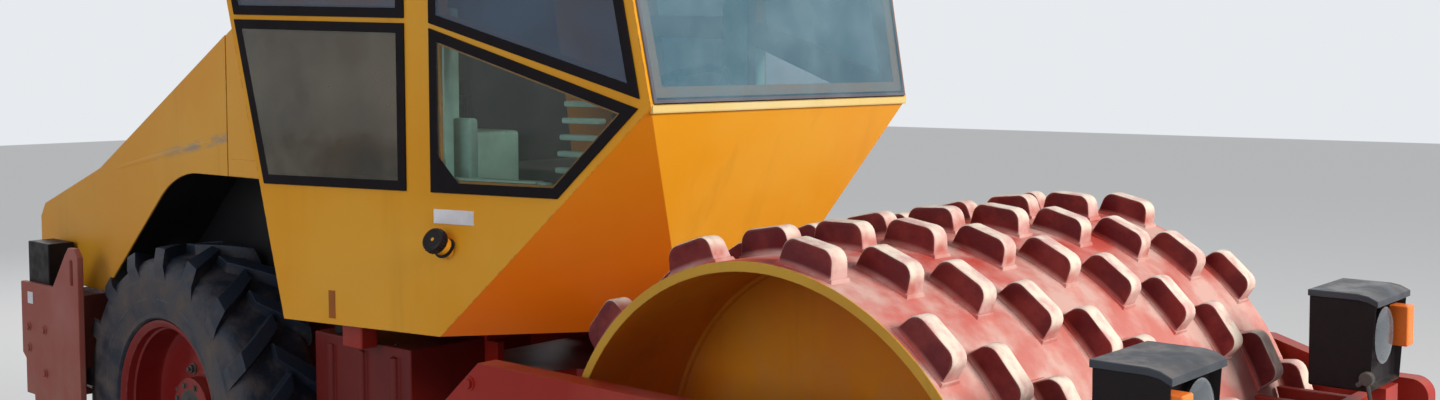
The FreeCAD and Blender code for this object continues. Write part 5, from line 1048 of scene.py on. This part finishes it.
placeOnBody("rear",
            (smooth(bothSides(makeTankParts), 32), "tank_caps", "black_plastic", blackPlastic),
            (makeTreads(), "step_grips", "steel", bareSteel),
            (smooth(bothSides(makeRearCase)), "rear_lamp_boxes", "black_plastic", blackPlastic),
            (makeRearLenses(0), "rear_lamp_red", "pale_plastic", redPlastic),
            (makeRearLenses(1), "rear_lamp_amber", "pale_plastic", amberPlastic),
            (makeRearLenses(2), "rear_lamp_clear", "pale_plastic", palePlastic),
            (block(*rearBits["plate"], 0.0006), "rear_blank_plate", "pale_plastic", blankPlate),
            (block(*rearBits["bracket"], 0.006, 3), "cab_side_bracket", "red_paint", redPaint),
            (makeBumperBolts(), "bumper_bolts", "steel", bumperPaint),
            (makeEngineParts(), "engine_parts", "cast_iron", castIron),
            (makeAirFilter(), "air_filter", "black_plastic", blackPlastic))
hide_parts("rear_lamps")
print("rear done")


# cab

cab = {
    "front": 0.837, "frontHalf": 0.564, "toe": 0.2, "sill": 1.416, "pillar": 0.078, "paneFront": 0.123,
    "upper": 1.95, "bandWide": 0.028, "sealWide": 0.009, "cornerProud": 0.0068, "corner": (0.078, 0.082),
    "cornerThick": 0.0008,
}
leftOut, rightOut = (Vector((cab["toe"], side, 0)).normalized() for side in (1, -1))


def halfAt(x):
    return cab["frontHalf"] + cab["toe"] * (cab["front"] - x)


# Place on the cab's outer side, moved outwards by proud
def onSide(x, z, side=-1, proud=0.0):
    normal = Vector((cab["toe"], side, 0)).normalized()
    return Vector((x, side * halfAt(x), z)) + normal * proud


# Places on the cab's side, in the order in which a plate between them grows outwards
def ringOnSide(places, side, proud):
    spots = [onSide(x, z, side, proud) for x, z in places]
    return spots[::-1] if side > 0 else spots


# Thin plate lying on the cab's side between two places and two heights
def onSidePlate(x0, x1, z0, z1, side, thick, proud, bevel):
    return plateOf(ringOnSide([(x0, z0), (x1, z0), (x1, z1), (x0, z1)], side, proud), thick, bevel)


# Pane with its dark bonded band printed round the edge; ahead is the glass of the panes before the pillar
def dressPanes(node, glass, band, wide, outwards, ahead=None, upper=None):
    panes = dressNode(node, "glass", 0, glass, band, ahead or glass, upper or glass)
    side = Vector(outwards).normalized()
    pickFaces(panes, lambda centre, normal: abs(normal.dot(side)) > 0.9)
    bpy.ops.mesh.inset(thickness=wide, use_individual=True)
    bpy.ops.mesh.select_all(action="INVERT")
    panes.active_material_index = 1
    bpy.ops.object.material_slot_assign()
    toObject()
    for face in panes.data.polygons:
        if face.material_index == 0 and face.center.z > cab["upper"]:
            face.material_index = 3
        elif face.material_index == 0 and face.center.x > cab["pillar"]:
            face.material_index = 2
    return smooth(bevelEdges(panes, 0.001, 2, 60))


for node in ("cab_side_right", "cab_side_left", "screen_frame", "cab_rear"):
    dressNode(node, "yellow_paint", 0.0015, yellowPaint)
dressNodes(("cab_nose", "yellow_paint", 0.0015, nosePaint),
           ("door_panel", "yellow_paint", 0.002, yellowPaint),
           ("cab_floor", "black_paint", 0.001, blackPaint))
for node, outwards, ahead, upper in (("side_glass_right", rightOut, frontGlassReflection, upperGlassSkyReflection),
                                     ("side_glass_left", leftOut, frontGlassReflection, upperGlassSkyReflection),
                                     ("door_glass", leftOut, None, upperGlassSkyReflection),
                                     ("rear_glass", (-1, 0, -0.2), None, None)):
    dressPanes(node, sideGlassGroundReflection, bandBlack, cab["bandWide"], outwards, ahead, upper)
dressPanes("windscreen", screenGlass, greySeal, cab["sealWide"], (1, 0, 0.19))


# Dark corner that cuts off the lower pane's clear area
def makeCornerBand(side):
    x, z = (cab[edge] + cab["bandWide"] - 0.003 for edge in ("paneFront", "sill"))
    long, high = cab["corner"]
    ring = ringOnSide([(x, z + high), (x + long, z), (x, z)], side, cab["cornerProud"])
    return plateOf(ring, cab["cornerThick"])


screenTrim = {
    "fold": [(0.8395, 1.644), (0.8408, 1.648), (0.8405, 1.664), (0.833, 1.667), (0.83, 1.644)],
    "joint": [(0.8395, 1.6672), (0.8372, 1.684), (0.832, 1.684), (0.832, 1.6672)],
    "foldIn": 0.004, "jointIn": 0.014,
}


# Strip across under the windscreen, its section given as x and height
def makeScreenStrip(section, inset, bevel):
    half = cab["frontHalf"] - inset
    return bevelEdges(plateOf([(x, half, z) for x, z in section], 2 * half), bevel)


filler = {
    "at": (0.172, 1.262), "rise": 0.55, "ribs": 24,
    "cap": [(0.0001, 0.04), (0.0335, 0.04), (0.0345, 0.043), (0.0345, 0.06), (0.033, 0.0655), (0.027, 0.068),
            (0.024, 0.066), (0.0001, 0.0655)],
    "collar": [(0.0262, 0.006), (0.033, 0.008), (0.033, 0.012), (0.0262, 0.014)],
}


# Ribbed black cap on the short neck of the cab's side, made upright and leant out at the end
def makeFillerCap():
    parts = [lathe(filler["cap"], axis=(0, 0, 1), steps=48)]
    for step in range(filler["ribs"]):
        rib = block((0.0335, -0.0012, 0.044), (0.0362, 0.0012, 0.06), 0.0006)
        parts.append(turnedAbout(rib, 2 * math.pi * step / filler["ribs"], axis="Z"))
    parts.append(lathe(filler["collar"], axis=(0, 0, 1), steps=40))
    cap = joined(parts)
    along = (rightOut + Vector((0, 0, filler["rise"]))).normalized()
    turn = along.to_track_quat("Z", "Y").to_matrix().to_4x4()
    cap.data.transform(Matrix.Translation(onSide(*filler["at"])) @ turn)
    return smooth(cap, 32)


doorBits = {"seal": [(0.072, 1.074), (0.072, 2.56), (0.078, 2.56), (0.078, 1.074)], "sealIn": -0.012,
            "lock": (0.02, 1.3), "lockOut": 0.008}


# Rubber along the door's edge, and the lock on its handle
def makeDoorParts():
    strip = plateOf([onSide(x, z, 1, doorBits["sealIn"]) for x, z in doorBits["seal"]], 0.01, 0.001)
    x, z = doorBits["lock"]
    lock = rod(onSide(x, z, 1), onSide(x, z, 1, doorBits["lockOut"]), 0.016, 24, 0.002)
    return smooth(joined([strip, lock]))


roof = {"margin": 0.09, "sunk": 0.007, "bevel": 0.004, "ribHalf": 0.024, "ribEnds": (-0.52, 0.34),
        "ribs": (-0.4, -0.2, 0.0, 0.2, 0.4)}


# Roof with a shallow pressed field and its stiffening ribs
def makeRoof():
    panel = dressNode("cab_roof", "yellow_paint", 0, yellowPaint)
    top = max(vertex.co.z for vertex in panel.data.vertices)
    pressFaces(panel, lambda centre, normal: normal.z > 0.99 and centre.z > top - 0.001, roof["margin"],
               (0, 0, -roof["sunk"]))
    smooth(bevelEdges(panel, roof["bevel"]))
    (rear, front), half = roof["ribEnds"], roof["ribHalf"]
    return smooth(joined([block((rear, y - half, top - 0.0095), (front, y + half, top - 0.0015), 0.0035)
                          for y in roof["ribs"]]))


placed(bothSides(makeCornerBand), "pane_corner_band", "rear", "glass", bandBlack)
fold = makeScreenStrip(screenTrim["fold"], screenTrim["foldIn"], 0.0012)
# the sill takes the pale yellow that paints its highlight
placed(fold, "screen_sill", "rear", "yellow_paint", sillHighlightPaint)
joint = makeScreenStrip(screenTrim["joint"], screenTrim["jointIn"], 0.001)
placed(joint, "screen_joint", "rear", "rubber", bandBlack)
placed(onSidePlate(0.13, 0.269, 1.33, 1.37, -1, 0.0022, 0.0002, 0.0006), "side_blank_plate", "rear",
       "pale_plastic", blankPlate)
placed(onSidePlate(-0.27, -0.245, 1.03, 1.112, -1, 0.002, 0.0002, 0.0006), "side_amber_strip", "rear",
       "pale_plastic", amberStrip)
placed(makeFillerCap(), "filler_cap_black", "rear", "black_plastic", blackPlastic)
placed(makeDoorParts(), "door_seal", "door", "rubber", rubberSeal)
placed(makeRoof(), "roof_ribs", "rear", "yellow_paint", yellowPaint)
print("cab shell done")


# hood and cowl

hoodBits = {
    "creaseStart": (-0.96, 1.531), "creaseEnd": (-1.757, 1.39), "creaseHigh": 0.0035, "creaseWide": 0.016,
    "half": 0.73, "catch": (-2.02, 1.069), "sheet": ((-0.903, 0.7285, 1.4135), (-0.64, 0.7325, 1.469)),
}


# Grey rubbed patches along the crease of the hood
def addScuffs(finish):
    (x0, z0), (x1, z1) = hoodBits["creaseStart"], hoodBits["creaseEnd"]
    x = placeOn(finish, "X")
    run = times(finish, sums(finish, "SUBTRACT", x, x0), (z1 - z0) / (x1 - x0))
    off = sums(finish, "ABSOLUTE", sums(finish, "SUBTRACT", placeOn(finish), sums(finish, "ADD", run, z0)))
    near, ahead = rangeIn(finish, off, 0.026, 0.004), rangeIn(finish, x, -1.5, -1.05)
    clouds = noiseIn(finish, 12, 0.36, 0.6, 5, (1, 1, 3))
    tintOver(finish, times(finish, near, ahead, clouds, 0.8), colours["scuff"])


# Pressed line along one side of the hood, fading out at both ends
def makeCrease(side):
    (x0, z0), (x1, z1) = hoodBits["creaseStart"], hoodBits["creaseEnd"]
    y, proud = side * hoodBits["half"], side * (hoodBits["half"] + hoodBits["creaseHigh"])
    deselectAll()
    bpy.ops.mesh.primitive_cube_add(size=2)
    bar = subdivided(bpy.context.object, 9)
    for vertex in bar.data.vertices:
        along, across, up = vertex.co
        share = (along + 1) / 2
        swell = math.sin(math.pi * share) ** 0.35 if 0 < share < 1 else 0
        ridge = (1 - up * up) * swell if across * side > 0 else 0
        vertex.co = (x0 + (x1 - x0) * share, y - side * 0.002 + (proud - y) * ridge,
                     z0 + (z1 - z0) * share + up * hoodBits["creaseWide"] * (0.3 + 0.7 * swell))
    return outward(bar)


# Lower fender piece beside the cowl, a thin sheet
def makeFenderSheet(side):
    low, high = ((x, side * y, z) for x, y, z in hoodBits["sheet"])
    return block(low, high, 0.0015)


def makeCatch(side):
    (x, z), face = hoodBits["catch"], side * hoodBits["half"]
    base = block((x - 0.03, face, z - 0.016), (x + 0.03, face + side * 0.01, z + 0.016), 0.003)
    start, end = face + side * 0.008, face + side * 0.026
    tongue = block((x - 0.016, start, z - 0.03), (x + 0.01, end, z + 0.01), 0.005, 3)
    pin = rod((x + 0.02, face, z), (x + 0.02, face + side * 0.02, z), 0.009, 16, 0.002)
    return joined([base, tongue, pin])


grille = {"half": 0.525, "low": 0.978, "top": 1.182, "wire": 0.0022, "rows": 22, "firstRow": 0.985,
          "rowPitch": 0.0088, "columns": 61, "columnPitch": 0.0175}


# Wire mesh behind the slots in the hood's end
def makeGrilleMesh():
    half, wire, wires = grille["half"], grille["wire"], []
    for row in range(grille["rows"]):
        z = grille["firstRow"] + row * grille["rowPitch"]
        wires.append(block((-2.2925, -half, z), (-2.2905, half, z + wire), 0))
    for column in range(grille["columns"]):
        y = -half + column * grille["columnPitch"]
        wires.append(block((-2.2908, y, grille["low"]), (-2.289, y + wire, grille["top"]), 0))
    return joined(wires)


addScuffs(hoodPaint)
dressNodes(("hood", "yellow_paint", 0.003, hoodPaint), ("engine_cowl", "yellow_paint", 0.002, yellowPaint))
placed(smooth(bothSides(makeCrease), 60), "hood_creases", "hood", "yellow_paint", hoodPaint)
placed(smooth(bothSides(makeFenderSheet)), "fender_sheets", "rear", "yellow_paint", yellowPaint)
placed(smooth(bothSides(makeCatch)), "hood_catches", "hood", "rubber", rubberSeal)
placed(makeGrilleMesh(), "grille_mesh", "hood", "black_paint", blackPaint)
print("hood done")


# inside the cab

dressNode("dashboard", "black_plastic", 0.01, blackPlastic, segments=3)
dressNode("console", "pale_plastic", 0.014, cabinPlastic, segments=3)
dressNodes(("seat_base", "black_plastic", 0.008, blackPlastic),
           ("steering_column", "black_plastic", 0.003, blackPlastic))

seat = {
    "cushion": ((-0.385, -0.235, 1.342), (0.105, 0.235, 1.452)),
    "back": ((-0.385, -0.215, 1.432), (-0.275, 0.215, 2.032)), "lean": 0.1, "hollow": 0.008, "drawnIn": 0.06,
}


# Pad that is full in the middle of each face and drawn in at its corners; a back is hollowed and leans
def makePad(low, high, lean=0.0):
    pad = subdivided(block(low, high, 0), 9)
    low, high = Vector(low), Vector(high)
    middle, half = (low + high) / 2, (high - low) / 2
    for vertex in pad.data.vertices:
        u, v, w = ((vertex.co[index] - middle[index]) / half[index] for index in range(3))
        full = (1 - v * v) * (1 - w * w), (1 - u * u) * (1 - w * w), (1 - u * u) * (1 - v * v)
        for index, part in enumerate((u, v, w)):
            inset = 1 - seat["drawnIn"] * (1 - full[index])
            vertex.co[index] = middle[index] + part * half[index] * inset
        if lean:
            vertex.co.x -= seat["hollow"] * math.cos(u * 1.5) * (1 - 0.5 * v * v)
            vertex.co.x -= lean * (vertex.co.z - low.z) / (high.z - low.z)
    soft = pad.modifiers.new("soft", "SUBSURF")
    soft.levels = soft.render_levels = 2
    return smooth(applyAll(pad), 60)


wheel = {
    "centre": (0.371, 0, 1.6674), "radius": 0.178, "grip": 0.012, "tilt": 30, "spokes": 3, "firstSpoke": 90,
    "hub": [(0.0001, 0.016), (0.03, 0.014), (0.04, 0.004), (0.04, -0.01), (0.012, -0.012), (0.0001, -0.012)],
}


def makeSteeringWheel():
    deselectAll()
    bpy.ops.mesh.primitive_torus_add(major_radius=wheel["radius"], minor_radius=wheel["grip"],
                                     major_segments=72, minor_segments=16)
    parts = [bpy.context.object, lathe(wheel["hub"], axis=(0, 0, 1), steps=40)]
    for step in range(wheel["spokes"]):
        spoke = block((0.03, -0.013, -0.006), (wheel["radius"] - 0.004, 0.013, 0.003), 0.0025)
        turn = math.radians(wheel["firstSpoke"] + 360 / wheel["spokes"] * step)
        parts.append(turnedAbout(spoke, turn, axis="Z"))
    piece = joined(parts)
    tilt = Matrix.Rotation(math.radians(-wheel["tilt"]), 4, "Y")
    piece.data.transform(Matrix.Translation(wheel["centre"]) @ tilt)
    return smooth(piece, 40)


liner = {
    "inner": -0.046, "thick": 0.003, "upright": (-0.02, 0.112, 1.075, 2.64), "slats": 5,
    "lower": [(0.112, 1.075), (0.15, 1.075), (0.44, 1.385), (0.112, 1.385)], "revealDeep": 0.036,
    "reveals": [(0.1575, 0.164, 1.455, 1.82), (0.164, 0.47, 1.4515, 1.457)],
    "panels": [(0.0, 0.105, 1.93), (0.105, 0.185, 1.62), (0.185, 0.5, 1.455)],
}


# Pale moulded liners on the inner walls
def makeWallLiner(side):
    inner, thick = liner["inner"], liner["thick"]
    parts = [onSidePlate(*liner["upright"], side, thick, inner, 0.001),
             plateOf(ringOnSide(liner["lower"], side, inner), thick, 0.001)]
    for reveal in liner["reveals"]:
        parts.append(onSidePlate(*reveal, side, liner["revealDeep"], inner, 0))
    return joined(parts)


# The liners with the panels and slats that show through the front panes
def makeCabinLiners():
    parts = [bothSides(makeWallLiner)]
    parts += [block((x0, -0.622, 1.4), (x1, -0.588, z1), 0.01, 3) for x0, x1, z1 in liner["panels"]]
    for step in range(liner["slats"]):
        z = 1.47 + step * 0.046
        parts.append(block((0.4 + 0.01 * step, -0.5, z), (0.56 + 0.006 * step, -0.47, z + 0.016), 0.005))
    return smooth(joined(parts))


# Gauges, switches and levers on the dashboard and the side console
def makeInstruments():
    parts = [rod((0.452, y, 1.585), (0.44, y, 1.59), 0.034, 28, 0.003) for y in (-0.1, 0.0, 0.1)]
    for step in range(6):
        y = -0.15 + step * 0.06
        parts.append(block((0.447, y - 0.012, 1.52), (0.456, y + 0.012, 1.545), 0.002))
    for x in (-0.22, -0.12):
        parts.append(rod((x, -0.4, 1.57), (x + 0.01, -0.4, 1.68), 0.006, 12))
        parts.append(rod((x + 0.01, -0.4, 1.675), (x + 0.012, -0.4, 1.725), 0.018, 20, 0.007))
    return smooth(joined(parts))


cushion, back = makePad(*seat["cushion"]), makePad(*seat["back"], seat["lean"])
placed(cushion, "seat_cushion", "rear", "fabric", seatCloth)
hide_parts("seat")
placed(back, "seat_back", "rear", "fabric", seatCloth)
steeringRim = makeSteeringWheel()
placed(steeringRim, "steering_rim", "wheel_of_column", "black_plastic", blackPlastic)
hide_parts("steering_wheel")
placed(makeCabinLiners(), "cabin_liners", "rear", "pale_plastic", cabinPlastic)
placed(makeInstruments(), "cabin_controls", "rear", "black_plastic", blackPlastic)
print("cab done")


# floor, light, camera

stage = {"floorLift": 0.32, "floorColour": (0.36, 0.36, 0.365), "background": (0.8, 0.83, 0.86),
         "skyColour": (0.86, 0.92, 1.0), "skyStrength": 0.3}


# 1 where the eye meets a surface straight, in a mirror or through glass, 0 where it only lights others
def seenByEye(finish):
    path = addNode(finish, "LightPath").outputs
    straight = sums(finish, "MAXIMUM", path["Is Camera Ray"], path["Is Glossy Ray"])
    return sums(finish, "MAXIMUM", straight, path["Is Transmission Ray"])


def makeFloor():
    deselectAll()
    bpy.ops.mesh.primitive_plane_add(size=60, location=(0, 0, 0))
    floor = bpy.context.object
    floor.name = "floor"
    finish = newFinish("floorPale", 0.85, specular=0.2)
    setOn(finish, "Base Color", stage["floorColour"])
    setOn(finish, "Emission Strength", times(finish, seenByEye(finish), stage["floorLift"]))
    floor.data.materials.append(finish)


# A dim sky that lights the machine, with an even backdrop where it is seen
def makeWorld():
    world = bpy.data.worlds.new("studio")
    world.use_nodes = True
    bpy.context.scene.world = world
    sky = world.node_tree.nodes["Background"]
    feed(world, sky.inputs["Color"], (*stage["skyColour"], 1))
    feed(world, sky.inputs["Strength"], stage["skyStrength"])
    backdrop = addNode(world, "Background", {"Color": (*stage["background"], 1), "Strength": 1.0})
    mix = addNode(world, "MixShader", {0: seenByEye(world), 1: sky.outputs[0], 2: backdrop.outputs[0]})
    feed(world, world.node_tree.nodes["World Output"].inputs["Surface"], mix.outputs[0])


# the key isn't mirrored, as it would fill the windscreen from the front
lights = [
    {"name": "keyFront", "place": (8.4, 1.2, 4.8), "size": 3.0, "power": 800, "colour": (1.0, 0.96, 0.9),
     "mirrored": False},
    {"name": "fillRight", "place": (1.5, -8.0, 3.4), "size": 4.0, "power": 170, "colour": (0.93, 0.96, 1.0),
     "mirrored": True},
    {"name": "rimRear", "place": (-7.0, 3.0, 6.0), "size": 4.0, "power": 340, "colour": (1.0, 0.98, 0.95),
     "mirrored": True},
]
aimAt = Vector((0.3, 0, 1.0))


def makeLights():
    for light in lights:
        deselectAll()
        bpy.ops.object.light_add(type="AREA", location=light["place"])
        area = bpy.context.object
        area.name = light["name"]
        area.data.size, area.data.energy, area.data.color = light["size"], light["power"], light["colour"]
        area.visible_glossy = light["mirrored"]
        area.rotation_mode = "QUATERNION"
        area.rotation_quaternion = (aimAt - Vector(light["place"])).to_track_quat("-Z", "Y")


view = {
    "place": (3.4366, -3.2234, 1.7735), "heading": 2.2980892, "pitch": -0.0545163, "roll": -0.0040637,
    "sensor": 36, "lens": 36.82, "drop": -0.0398, "clip": (0.05, 200),
}


def makeCamera():
    deselectAll()
    bpy.ops.object.camera_add(location=view["place"])
    camera = bpy.context.object
    turn = (Matrix.Rotation(view["heading"] - math.pi / 2, 4, "Z")
            @ Matrix.Rotation(math.pi / 2 + view["pitch"], 4, "X") @ Matrix.Rotation(view["roll"], 4, "Z"))
    camera.rotation_euler = turn.to_euler()
    camera.data.sensor_width, camera.data.lens = view["sensor"], view["lens"]
    camera.data.shift_y = view["drop"]
    camera.data.clip_start, camera.data.clip_end = view["clip"]
    bpy.context.scene.camera = camera


makeFloor()
makeWorld()
makeLights()
makeCamera()
bpy.context.scene.view_settings.view_transform = "Standard"

print("scene done")
